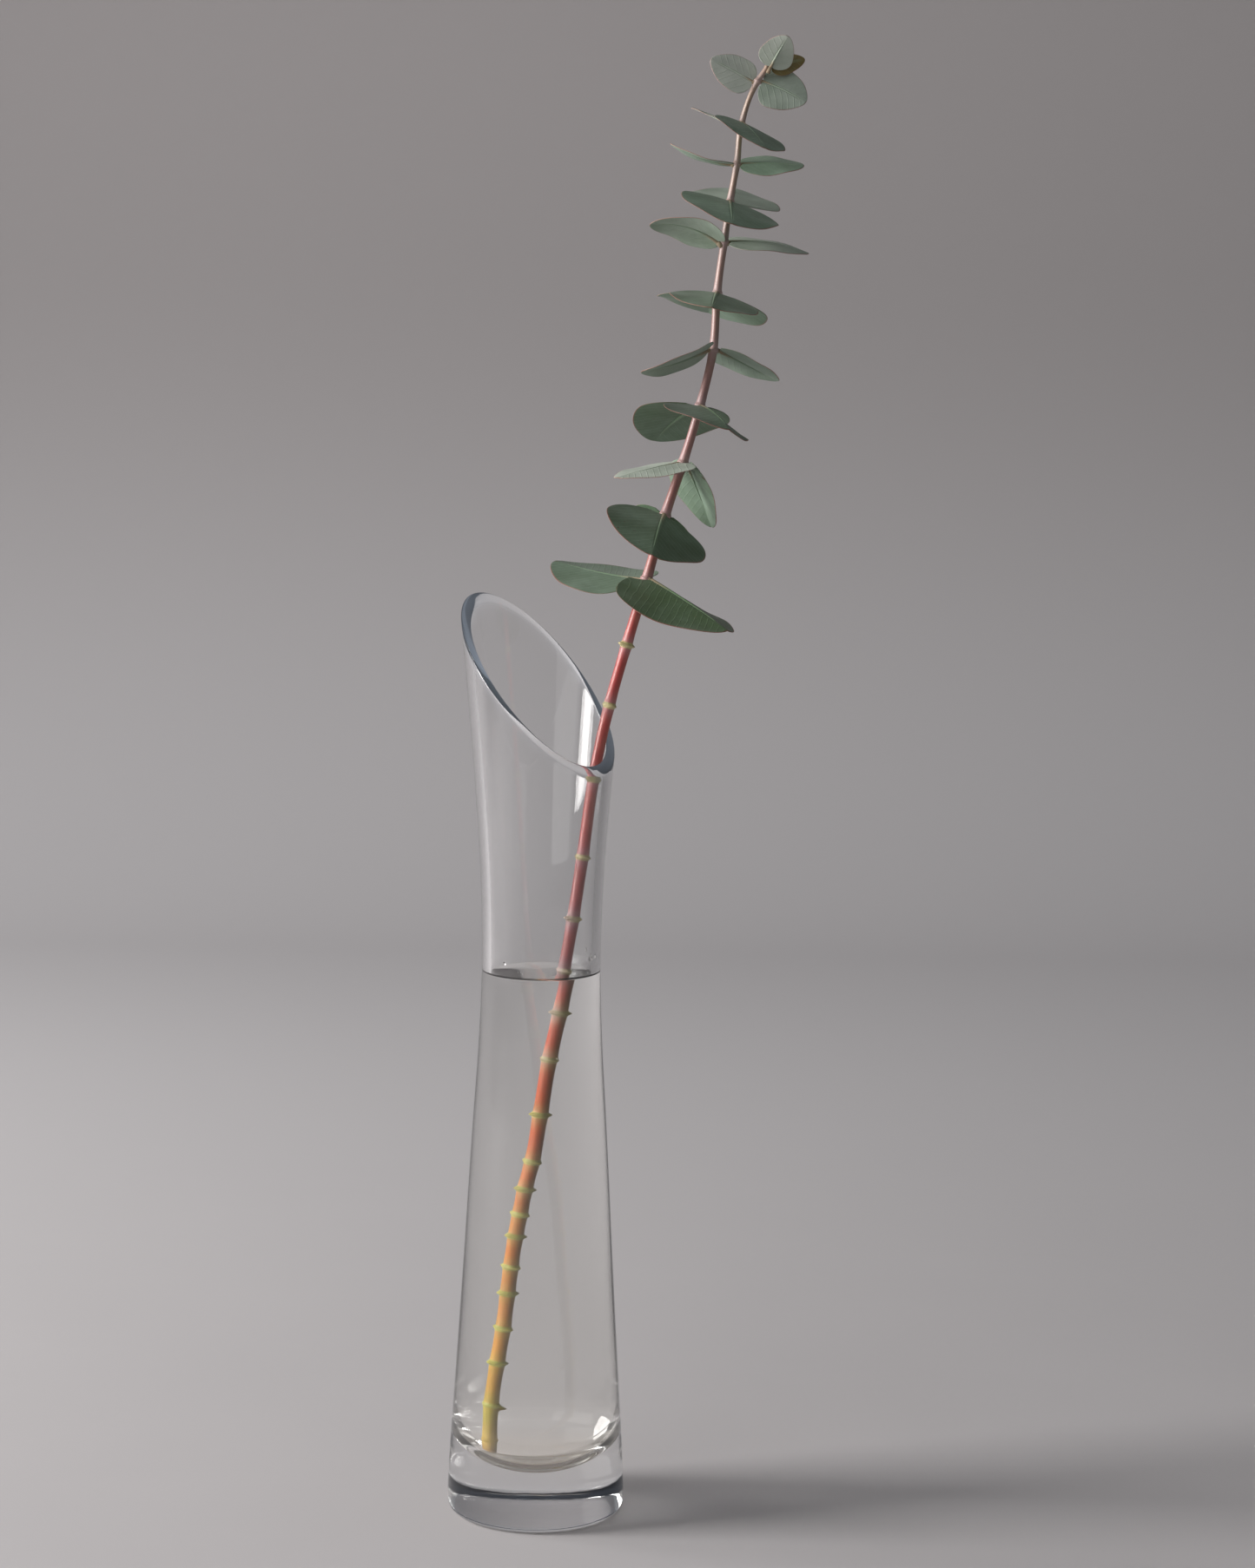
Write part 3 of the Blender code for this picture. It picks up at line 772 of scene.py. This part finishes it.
# At each row: the way along the stem, and two ways across it, to the right and to the back.
turns = np.arange(STEM_SIDES) * 2 * math.pi / STEM_SIDES
along = stem_centre(rows + ROW_STEP / 2) - stem_centre(rows - ROW_STEP / 2)
along /= np.linalg.norm(along, axis=-1, keepdims=True)
right = np.array([1.0, 0.0, 0.0]) - along * along[:, :1]
right /= np.linalg.norm(right, axis=-1, keepdims=True)
back = np.cross(along, right)
radius = stem_radius(rows)[:, None] + stem_swell(rows, turns)
radius[-1] *= TIP_GIRTH
spokes = np.cos(turns)[None, :, None] * right[:, None] + np.sin(turns)[None, :, None] * back[:, None]
stem_rings = stem_centre(rows)[:, None] + spokes * radius[..., None]
near_cut = np.clip(1 - (rows - rows[0]) / CUT_REACH, 0, 1)[:, None]
stem_rings[..., 2] -= CUT_SLANT * near_cut * (1 + np.cos(turns))[None, :]
green = smooth_rise(*GREEN_JOINT_HEIGHTS, joint_heights)[None, :]
stem_marks = {
    "joint": (green * bells_at(rows, joint_heights, GREEN_JOINT_WIDTH)).sum(axis=1)[:, None],
    "waxy": bells_at(rows, joint_heights, FLARE_WIDTH).sum(axis=1)[:, None],
    "facing": 0.5 - 0.5 * np.cos(turns - math.radians(LIGHT_HEADING))[None, :],
}
print("stem rings", stem_rings.shape)

# %% [markdown]
# ## The stem's colours
#
# The stem changes colour along its length: yellow-green at the cut, orange under the water, clear
# red above it and a dusty pink-tan among the leaves. A ramp on the height gives that. The side
# away from the light is blended towards olive green, partly the stem's own colour and partly painted
# shade. The joints are pale green under water, and a whitish wax lies in patches on both sides of
# each joint; near the water line the side facing the window also gets a painted highlight in the
# same white. Fine lengthwise fibres give the relief.
#
# The round water and the glass gather window light on the side of the stem that faces the window.
# The renderer misses that too, so there the stem's own colour glows faintly: most under water, a
# little where it stands in the empty glass, and not at all above the rim.

# %% Colours of the stem
STEM_COLOURS = ((0.020, srgb(196, 152, 80)), (0.026, srgb(212, 176, 82)), (0.037, srgb(200, 194, 82)),
                (0.045, srgb(220, 170, 70)), (0.060, srgb(227, 158, 58)), (0.090, srgb(228, 134, 45)),
                (0.120, srgb(226, 104, 38)), (0.150, srgb(226, 97, 46)), (0.184, srgb(216, 112, 98)),
                (0.196, srgb(190, 104, 104)), (0.232, srgb(186, 94, 94)), (0.246, srgb(190, 74, 72)),
                (0.310, srgb(194, 76, 72)), (0.335, srgb(172, 98, 94)), (0.380, srgb(168, 122, 120)),
                (0.440, srgb(172, 140, 134)), (0.507, srgb(184, 160, 138)))
SHADE_GREEN = srgb(112, 116, 66)
FRECKLE_TAN = srgb(206, 150, 112)
JOINT_GREEN = srgb(206, 204, 100)
LEAFY_JOINT = srgb(158, 120, 104)
WATER_YELLOW = srgb(214, 186, 84)
WAX_AND_HIGHLIGHT_WHITE = srgb(208, 188, 192)
FIBRE_BROWN = srgb(96, 52, 44)
GLASS_GLOW = (0.25, 0.12, 0.12)

ramp_start = STEM_COLOURS[0][0]
ramp_length = STEM_COLOURS[-1][0] - ramp_start
stem_finish = Finish("red_stem", {"Specular IOR Level": 0.6, "Coat Weight": 0.35,
                                  "Coat Roughness": 0.30, "Emission Strength": 1.0})
height = stem_finish.place(2)
stops = [((place - ramp_start) / ramp_length, colour) for place, colour in STEM_COLOURS]
skin_colour = stem_finish.node("ValToRGB", {"stops": stops}, {0: (height - ramp_start) / ramp_length})
print("stem colours", len(stops), "over", round(ramp_length, 3), "m")

# %% Green shade, freckles and joints
patches = stem_finish.noise(90.0, 3.0, 0.55, (1.0, 1.0, 0.45))
fibres = stem_finish.noise(900.0, 3.0, 0.6, (1.0, 1.0, 0.06))
facing = stem_finish.mark("facing")
near_joint = stem_finish.mark("waxy")
under_water = 1 - stem_finish.step(height, 0.185, 0.20)
leafy = stem_finish.step(height, 0.315, 0.325)

# The side away from the window is blended towards olive green, more under water: partly the stem's own
# colour, partly painted shade.
shade = stem_finish.step(1 - facing, 0.35, 1.0) * (under_water * 0.45 + 0.12)
freckles = stem_finish.step(patches, 0.35, 0.8) * 0.30
ringed = stem_finish.step(stem_finish.mark("joint"), 0.20, 0.70) * (0.92 - leafy * 0.5)
joint_colour = stem_finish.blend(leafy, JOINT_GREEN, LEAFY_JOINT)
bark = stem_finish.blend(shade, skin_colour, SHADE_GREEN)
bark = stem_finish.blend(freckles, bark, FRECKLE_TAN)
bark = stem_finish.blend(near_joint * under_water * 0.55, bark, WATER_YELLOW)
bark = stem_finish.blend(ringed, bark, joint_colour)
print("stem nodes", len(stem_finish.tree.nodes))

# %% Wax, a painted highlight, fibres and gathered light
wax = near_joint * 0.35 + stem_finish.step(patches, 0.45, 0.75) * 0.14
wax = wax * stem_finish.step(height, 0.03, 0.16) * (1 - under_water * 0.45)
# Near the water line, the side facing the window gets a painted highlight in the wax's white, added to
# the wax share.
painted_highlight_band = stem_finish.step(height, 0.152, 0.172) * (1 - stem_finish.step(height, 0.20, 0.24))
wax = wax + near_joint * facing * painted_highlight_band * 0.55
bark = stem_finish.blend(wax, bark, WAX_AND_HIGHLIGHT_WHITE)
bark = stem_finish.blend(stem_finish.step(fibres, 0.35, 0.75) * 0.18, bark, FIBRE_BROWN)
stem_finish.paint(Base_Color=bark, Roughness=0.34 + wax * 0.3 + patches * 0.10)

in_glass = 1 - stem_finish.step(height, 0.24, 0.29)
gathered = facing ** 2.4 * (under_water * 0.70 + in_glass * 0.30) * 0.62
stem_glow = stem_finish.blend(under_water, GLASS_GLOW, bark)
stem_finish.paint(Emission_Color=stem_finish.blend(gathered, BLACK, stem_glow))
stem_finish.relief(fibres * 0.6 + patches * 0.4, 0.35, 0.0002)
stem = place_piece("eucalyptus_stem",
                   make_mesh("eucalyptus_stem", [grid_skin(stem_rings, stem_marks, "pole")]),
                   stem_finish.material, "stem")
print("stem faces", len(stem.data.polygons))

# %% [markdown]
# ## The leaves
#
# Each leaf is a round, stiff blade with no stalk to speak of, broadest near the stem and often
# with two small lobes that clasp it. One rule shapes them all: the midrib leaves the joint in some
# direction and bends evenly, and the two halves of the blade lean out from it at their own angles.
# The measures of each leaf are listed from the lowest pair to the top one.

# %% Measures of the leaves
# Heading 0 points along +X and 90 away from the viewer. Rise is the midrib's slope at the stem and
# at the tip. Roll, twist and fold lean the halves. Wax is how pale the bloom makes the blade.
Leaf = namedtuple("Leaf", "side heading rise_at_stem rise_at_tip roll twist fold length width lobe wax")
LEAF_PAIRS = (
    (Leaf("right", -46, -20, -26, -7, 7, -21, 0.0400, 0.0410, 0.0055, 0.13),
     Leaf("left", 141, 2, 12, -14, 6, -8, 0.0390, 0.0340, 0.0015, 0.35)),
    (Leaf("front", -98, -15, -30, -27, 0, -12, 0.0330, 0.0380, 0.0015, 0.30),
     Leaf("back", 96, -36, -48, 34, 0, -4, 0.0240, 0.0250, 0.0015, 0.30)),
    (Leaf("left", 219, -9, -13, -3, 0, -6, 0.0268, 0.0255, 0.0030, 0.61),
     Leaf("right", 48, -58, -60, 14, 0, -13, 0.0260, 0.0240, 0.0015, 0.53)),
    (Leaf("front", -72, -8, -24, -18, -4, -19, 0.0290, 0.0335, 0.0015, 0.15),
     Leaf("back", 120, -16, -31, 9, 0, -3, 0.0310, 0.0350, 0.0015, 0.30)),
    (Leaf("left", 203, -26, -10, 22, -8, -4, 0.0255, 0.0255, 0.0015, 0.56),
     Leaf("right", 25, -24, -24, -4, 0, -6, 0.0250, 0.0250, 0.0015, 0.54)),
    (Leaf("front", -95, -9, -17, -12, 0, -11, 0.0270, 0.0315, 0.0015, 0.31),
     Leaf("back", 94, -9, -14, 9, 10, -12, 0.0290, 0.0400, 0.0015, 0.42)),
    (Leaf("left", 190, 34, -10, 15, 2, -6, 0.0250, 0.0250, 0.0015, 0.57),
     Leaf("right", 10, 6, -20, 14, 0, -6, 0.0280, 0.0240, 0.0015, 0.60)),
    (Leaf("front", -90, -14, -26, -17, 0, -4, 0.0270, 0.0350, 0.0015, 0.47),
     Leaf("back", 84, 15, 12, 9, 0, -6, 0.0270, 0.0340, 0.0015, 0.57)),
    (Leaf("left", 180, 4, 30, 0, 0, -3, 0.0220, 0.0200, 0.0012, 0.53),
     Leaf("right", 0, 2, -4, 22, 0, -5, 0.0210, 0.0215, 0.0012, 0.48)),
    (Leaf("front", -68, -22, -34, -18, 0, -4, 0.0210, 0.0285, 0.0010, 0.50),
     Leaf("back", 140, 16, 20, 10, 0, -4, 0.0200, 0.0200, 0.0010, 0.60)),
    (Leaf("left", 180, 28, 26, -60, 0, -6, 0.0160, 0.0150, 0.0006, 0.82),
     Leaf("right", -8, -18, -34, 58, 0, -6, 0.0165, 0.0180, 0.0006, 0.59)),
    (Leaf("front", -40, 57, 50, -42, 0, 6, 0.0122, 0.0122, 0.0003, 0.64),
     Leaf("back", 16, 18, 12, 68, 0, -4, 0.0124, 0.0080, 0.0004, 0.02)),
)
print("largest leaf", max(leaf.length for pair in LEAF_PAIRS for leaf in pair) * 1000, "mm long")

# %% [markdown]
# ## From measures to a blade
#
# A blade could be a flat sheet with a Solidify modifier, but then its edge is square. Here the
# grid runs once round the blade instead, over the top and back underneath, so the edge is round
# and thin. A second skin, a tapering tube, is the midrib, which also joins the leaf to the stem.

# %% The blade's middle surface
GAP = 0.0003
OUTLINE_SKEW = 0.65
OUTLINE_FULLNESS = 0.60
ROOT_SHARE = 0.28
TIP_SHARE = 0.04
MIDRIB_STEPS = 400
WAVE_HEIGHT = 0.010
WAVE_COUNT = 1.6
WAVE_SHIFT = 0.37
WAVE_SPLIT = 1.4


def leaf_outline(u):
    """Half width as a share of the greatest: a sine arch, skewed so that it is widest early."""
    body = np.sin(math.pi * np.clip(u, 0, 1) ** OUTLINE_SKEW) ** OUTLINE_FULLNESS
    return np.maximum(body, ROOT_SHARE * (1 - u) ** 2) * (1 - TIP_SHARE) + TIP_SHARE


def midrib_line(leaf, height, u):
    """Points and directions of the midrib: small steps along a slope that turns evenly."""
    fine = np.linspace(0, 1, MIDRIB_STEPS + 1)
    slope = np.radians(leaf.rise_at_stem + (leaf.rise_at_tip - leaf.rise_at_stem) * fine)
    heading = math.radians(leaf.heading)
    outward = np.array([math.cos(heading), math.sin(heading), 0.0])
    way = np.cos(slope)[:, None] * outward + np.sin(slope)[:, None] * np.array([0.0, 0.0, 1.0])
    run = np.cumsum((way[1:] + way[:-1]) / 2, axis=0) / MIDRIB_STEPS
    path = np.concatenate([np.zeros((1, 3)), run])
    start = stem_centre(np.array(height)) + outward * (stem_radius(height) + RING_SWELL + 2 * GAP)
    points = np.stack([np.interp(u, fine, path[:, i]) for i in range(3)], axis=-1) * leaf.length
    along = np.stack([np.interp(u, fine, way[:, i]) for i in range(3)], axis=-1)
    return start + points, along, np.array([-math.sin(heading), math.cos(heading), 0.0])


def leaf_middle(leaf, height, u, v, seed):
    """Middle surface over u, from stem to tip, and v, from the left margin to the right.

    Each half leans by the roll and the fold, which eases a little towards the margin. The lobes
    reach back at the root, and a slow sine wave with its own start for each leaf lifts and lowers
    the margin by a few tenths of a millimetre.
    """
    midrib, along, left = midrib_line(leaf, height, u)
    above = np.cross(along, left)
    fold = leaf.fold * (1.2 - 0.4 * np.abs(v))
    lean = np.radians((leaf.roll + leaf.twist * u[:, None]) * np.sign(v) + fold)
    reach = np.abs(v) * leaf.width / 2 * leaf_outline(u)[:, None]
    side = np.sign(v)[..., None] * left
    points = midrib[:, None] + reach[..., None] * (np.cos(lean)[..., None] * side
                                                   + np.sin(lean)[..., None] * above[:, None])
    lobe = leaf.lobe * (1 - u[:, None]) ** 2 * np.abs(v) ** 1.5
    wave = np.sin(2 * math.pi * (WAVE_COUNT * u[:, None] + WAVE_SHIFT * seed) + WAVE_SPLIT * np.sign(v))
    wave = wave * WAVE_HEIGHT * leaf.width * np.abs(v) ** 2 * np.sin(math.pi * u[:, None]) ** 0.5
    return points - lobe[..., None] * along[:, None] + wave[..., None] * above[:, None]


shares = np.linspace(0, 1, 101)
print("widest at", round(float(shares[leaf_outline(shares).argmax()]), 2), "of a blade's length")

# %% The blade
GOLDEN_SHARE = 0.618
LEAF_THICKNESS = 0.00045
LEAF_ROWS = 64
LEAF_SIDES = 88
END_SHARE = 0.02
END_THICKNESS = 0.3
CHANNEL_DEPTH = 0.00012
CHANNEL_WIDTH = 0.0007


def leaf_marks(leaf, seed, along, **others):
    """What the finish reads: places along the leaf, its wax, and a number of its own from 0 to 1."""
    return {"along": along, "along_mm": along * leaf.length * 1000, "wax": leaf.wax,
            "own": (GOLDEN_SHARE * seed) % 1.0, **others}


def blade_skin(leaf, height, seed):
    """The blade: its middle surface pushed apart by half the thickness, less at the margin.

    Round the section the thickness falls as the root of the sine, and at both ends it is eased by
    a quarter circle. A bell along the midrib makes the shallow channel of the upper side.
    """
    u = (1 - np.cos(np.linspace(0, math.pi, LEAF_ROWS))) / 2
    half = LEAF_SIDES // 2
    turn = np.linspace(0, math.pi, half + 1)
    v = np.broadcast_to(np.cos(turn)[None, :], (LEAF_ROWS, half + 1))
    middle = leaf_middle(leaf, height, u, v, seed)
    normal = np.cross(np.gradient(middle, axis=0), -np.gradient(middle, axis=1))
    normal /= np.linalg.norm(normal, axis=-1, keepdims=True)
    ends = np.clip(np.minimum(u, 1 - u) / END_SHARE, 0, 1)
    ease = END_THICKNESS + (1 - END_THICKNESS) * np.sqrt(1 - (1 - ends) ** 2)
    thick = LEAF_THICKNESS / 2 * ease[:, None] * np.sin(turn)[None, :] ** 0.5
    channel = CHANNEL_DEPTH * bell(v * leaf.width / 2, CHANNEL_WIDTH) * (1 - u[:, None])
    upper = middle + normal * (thick - channel)[..., None]
    lower = middle - normal * thick[..., None]
    rings = np.concatenate([upper, lower[:, half - 1:0:-1]], axis=1)
    v_round = np.concatenate([v, v[:, half - 1:0:-1]], axis=1)
    top = np.concatenate([np.ones(half + 1), np.zeros(half - 1)])
    width = leaf.width / 2 * leaf_outline(u)[:, None] * 1000
    marks = leaf_marks(leaf, seed, u[:, None], across=v_round, top=top[None, :],
                       across_mm=np.abs(v_round) * width, rib=0.0)
    return grid_skin(rings, marks, "ribbon"), middle, normal, u


first_leaf = LEAF_PAIRS[0][0]
blade, middle, normal, u = blade_skin(first_leaf, leafy_heights[0], 0)
print("points of a blade", len(blade[0]))

# %% The midrib
RIB_SIDES = 12
RIB_END = 0.85
RIB_ROOT = 0.0022
RIB_GIRTH = 0.00022
RIB_GIRTH_PER_WIDTH = 0.016
RIB_TIP_GIRTH = 0.00010
RIB_FLARE = np.array([1.5, 1.35, 1.15])
RIB_SINK = 0.75


def rib_skin(leaf, middle, normal, u, seed):
    """The midrib: a round tube that starts inside the stem and tapers out along the blade.

    Its radius falls with a power of the share that is left, and flares where it meets the stem.
    """
    centre = middle[:, middle.shape[1] // 2]
    below = normal[:, middle.shape[1] // 2]
    keep = u < RIB_END
    first_step = centre[1] - centre[0]
    root = centre[0] - first_step / np.linalg.norm(first_step) * RIB_ROOT
    share = np.concatenate([[0.0, 0.0], u[keep]])
    path = np.concatenate([[root, (root + centre[0]) / 2], centre[keep]])
    normals = np.concatenate([[below[0], below[0]], below[keep]])
    size = (RIB_GIRTH + leaf.width * RIB_GIRTH_PER_WIDTH) * (1 - share) ** 0.8 + RIB_TIP_GIRTH
    size[:3] = size[2] * RIB_FLARE
    forward = np.gradient(path, axis=0)
    forward /= np.linalg.norm(forward, axis=-1, keepdims=True)
    side = np.cross(forward, normals)
    turns = (np.arange(RIB_SIDES) * 2 * math.pi / RIB_SIDES)[None, :, None]
    drop = (size - LEAF_THICKNESS / 2) * RIB_SINK
    ring = np.cos(turns) * side[:, None] + np.sin(turns) * normals[:, None]
    rings = (path - normals * drop[:, None])[:, None] + ring * size[:, None, None]
    marks = leaf_marks(leaf, seed, share[:, None], across=0.0, top=0.0, across_mm=0.0, rib=1.0)
    return grid_skin(rings, marks, "pole")


print("points of a midrib", len(rib_skin(first_leaf, middle, normal, u, 0)[0]))

# %% [markdown]
# ## Waxy leaf skin
#
# The leaf is deep green under a grey-blue wax. The wax is thickest on young leaves and is rubbed
# off in patches on old ones, so its amount comes from the leaf's own wax value and a soft noise.
# One small leaf near the top has almost no wax and is painted olive-brown: painted shade, with
# painted light as if shining through it from behind. A pale midrib and faint veins that slant
# towards the tip follow the blade's own coordinates: a vein runs where the distance along the
# blade, less a part of the distance from the midrib, comes to a set spacing.
# The margin has a thin pink edge that widens towards the tip, and old leaves have brown specks.

# %% Green flesh under the wax
FLESH_GREENS = (srgb(66, 88, 52), srgb(60, 85, 59))
UNDER_GREEN = srgb(72, 110, 62)
OLIVE_PAINTED_SHADE_AND_BACKLIGHT = srgb(122, 106, 62)
OLD_BLOOM = srgb(144, 168, 148)
YOUNG_BLOOM = srgb(208, 214, 203)

leaf_finish = Finish("waxy_leaf", {"Specular IOR Level": 0.35, "Sheen Weight": 0.12,
                                   "Sheen Roughness": 0.5})
clouds = leaf_finish.noise(70.0, 4.0, 0.6)
grain = leaf_finish.noise(900.0, 2.0, 0.5)
wax = leaf_finish.mark("wax")
upper_flesh = leaf_finish.blend(leaf_finish.mark("own"), *FLESH_GREENS)
under_flesh = leaf_finish.blend(0.35, upper_flesh, UNDER_GREEN)
flesh = leaf_finish.blend(leaf_finish.mark("top"), under_flesh, upper_flesh)
# Where a leaf has almost no wax, its flesh is painted olive-brown: painted shade, with painted light as
# if shining through it from behind.
flesh = leaf_finish.blend(1 - leaf_finish.step(wax, 0.04, 0.10), flesh, OLIVE_PAINTED_SHADE_AND_BACKLIGHT)
cover = leaf_finish.step(wax * 1.1 + (clouds - 0.5) * 0.9, -0.05, 1.05)
bloom = leaf_finish.blend(leaf_finish.step(wax, 0.50, 0.66), OLD_BLOOM, YOUNG_BLOOM)
waxed_leaf = leaf_finish.blend(cover, flesh, bloom)
print("leaf nodes", len(leaf_finish.tree.nodes))

# %% Midrib and veins
VEIN_SPACING = 1.35
VEIN_GREEN = srgb(168, 186, 158)
MIDRIB_GREEN = srgb(150, 172, 140)

along = leaf_finish.mark("along")
sideways = leaf_finish.mark("across_mm")
stripe = leaf_finish.mark("along_mm") - sideways * 0.75 + leaf_finish.noise(160.0, 2.0) * 1.6
saw = leaf_finish.node("Math", {"operation": "PINGPONG"}, {0: stripe, 1: VEIN_SPACING})
vein = leaf_finish.step(saw, 1.02, 1.33) * leaf_finish.step(sideways, 0.2, 1.2)
midrib = (1 - leaf_finish.step(sideways, 0.25, 0.75)) * (1 - leaf_finish.step(along, 0.75, 0.98))
veined = leaf_finish.blend(vein * 0.10, waxed_leaf, VEIN_GREEN)
ribbed = leaf_finish.blend(midrib * 0.25, veined, MIDRIB_GREEN)
print("leaf nodes", len(leaf_finish.tree.nodes))

# %% Margin, specks and the whole leaf
MARGIN_PINK = srgb(172, 104, 98)
TIP_BROWN = srgb(132, 80, 66)
SPECK_BROWN = srgb(96, 70, 50)
ROOT_TAN = srgb(158, 140, 116)

pink = leaf_finish.step(abs(leaf_finish.mark("across")) + along * 0.06, 0.985, 1.03)
specks = leaf_finish.step(leaf_finish.noise(420.0, 1.0), 0.74, 0.80)
old = 1 - leaf_finish.step(leaf_finish.place(2), 0.36, 0.47)
blade_colour = leaf_finish.blend(pink * 0.6, ribbed, MARGIN_PINK)
blade_colour = leaf_finish.blend(leaf_finish.step(along, 0.985, 1.0) * 0.7, blade_colour, TIP_BROWN)
blade_colour = leaf_finish.blend(specks * (old * 0.6 + 0.1), blade_colour, SPECK_BROWN)
rib_colour = leaf_finish.blend(leaf_finish.step(along, 0.0, 0.30), ROOT_TAN, ribbed)
leaf_finish.paint(Base_Color=leaf_finish.blend(leaf_finish.mark("rib"), blade_colour, rib_colour),
                  Roughness=0.48 + cover * 0.22 + grain * 0.08)
leaf_finish.relief(vein * 0.6 + clouds * 0.8 + grain * 0.10 - midrib * 0.7, 0.30, 0.0003)
print("leaf nodes", len(leaf_finish.tree.nodes))

# %% Twenty-four leaves
for pair, (height, leaves) in enumerate(zip(leafy_heights, LEAF_PAIRS)):
    for second, leaf in enumerate(leaves):
        place_name = f"_{pair + 1:02d}_{leaf.side}"
        seed = 2 * pair + second
        blade, middle, normal, u = blade_skin(leaf, height, seed)
        rib = rib_skin(leaf, middle, normal, u, seed)
        place_piece("blade" + place_name, make_mesh("blade" + place_name, [blade, rib]),
                    leaf_finish.material, "leaf" + place_name)

# %% [markdown]
# ## The bud
#
# At the very top two leaves that have not opened yet are pressed together. They make a small
# spindle with a seam down each side. It is a turned shape whose girth dips along two lines.

# %% The bud's surface
BUD_ROWS = 40
BUD_SIDES = 40
BUD_HEIGHT = 0.0050
BUD_WIDTH = 0.0022
BUD_LEAN = -0.45
BUD_FLATNESS = 0.82
BUD_SINK = 0.0004
SEAM_DEPTH = 0.22
SEAM_WIDTH = 0.22
SEAM_TURN = 0.6
BUD_SHARES = (0.0, 0.2, 0.45, 0.7, 0.9, 1.0)
BUD_GIRTHS = (0.65, 0.83, 1.0, 0.95, 0.62, 0.25)

share = np.linspace(0, 1, BUD_ROWS)[:, None]
turns = (np.arange(BUD_SIDES) * 2 * math.pi / BUD_SIDES)[None, :]
seam = bell(np.sin(turns + SEAM_TURN), SEAM_WIDTH) * np.sin(math.pi * share) ** 0.5
girth = BUD_WIDTH / 2 * smooth(BUD_SHARES, BUD_GIRTHS, share) * (1 - SEAM_DEPTH * seam)
bud_foot = stem_centre(np.array(STEM_TIP[0]))
bud_rings = np.stack(np.broadcast_arrays(
    bud_foot[0] + BUD_LEAN * BUD_HEIGHT * share + girth * np.cos(turns),
    bud_foot[1] + girth * BUD_FLATNESS * np.sin(turns),
    bud_foot[2] - BUD_SINK + (BUD_HEIGHT + BUD_SINK) * share), axis=-1)
print("bud rings", bud_rings.shape)

# %% The bud's finish and the bud piece
BUD_GREENS = (srgb(132, 140, 112), srgb(176, 184, 160))
BUD_TIP_TAN = srgb(150, 112, 96)

bud_finish = Finish("pale_bud", {"Specular IOR Level": 0.35, "Sheen Weight": 0.15})
frost = bud_finish.noise(500.0, 3.0)
tip = bud_finish.step(bud_finish.place(2), 0.5085, 0.5125)
bud_colour = bud_finish.blend(tip * 0.6, bud_finish.blend(frost, *BUD_GREENS), BUD_TIP_TAN)
bud_finish.paint(Base_Color=bud_colour, Roughness=0.5 + frost * 0.2)
bud_finish.relief(frost, 0.3, 0.0002)
bud = place_piece("furled_bud", make_mesh("furled_bud", [grid_skin(bud_rings, {}, "pole")]),
                  bud_finish.material, "tip_bud")
print("bud faces", len(bud.data.polygons))
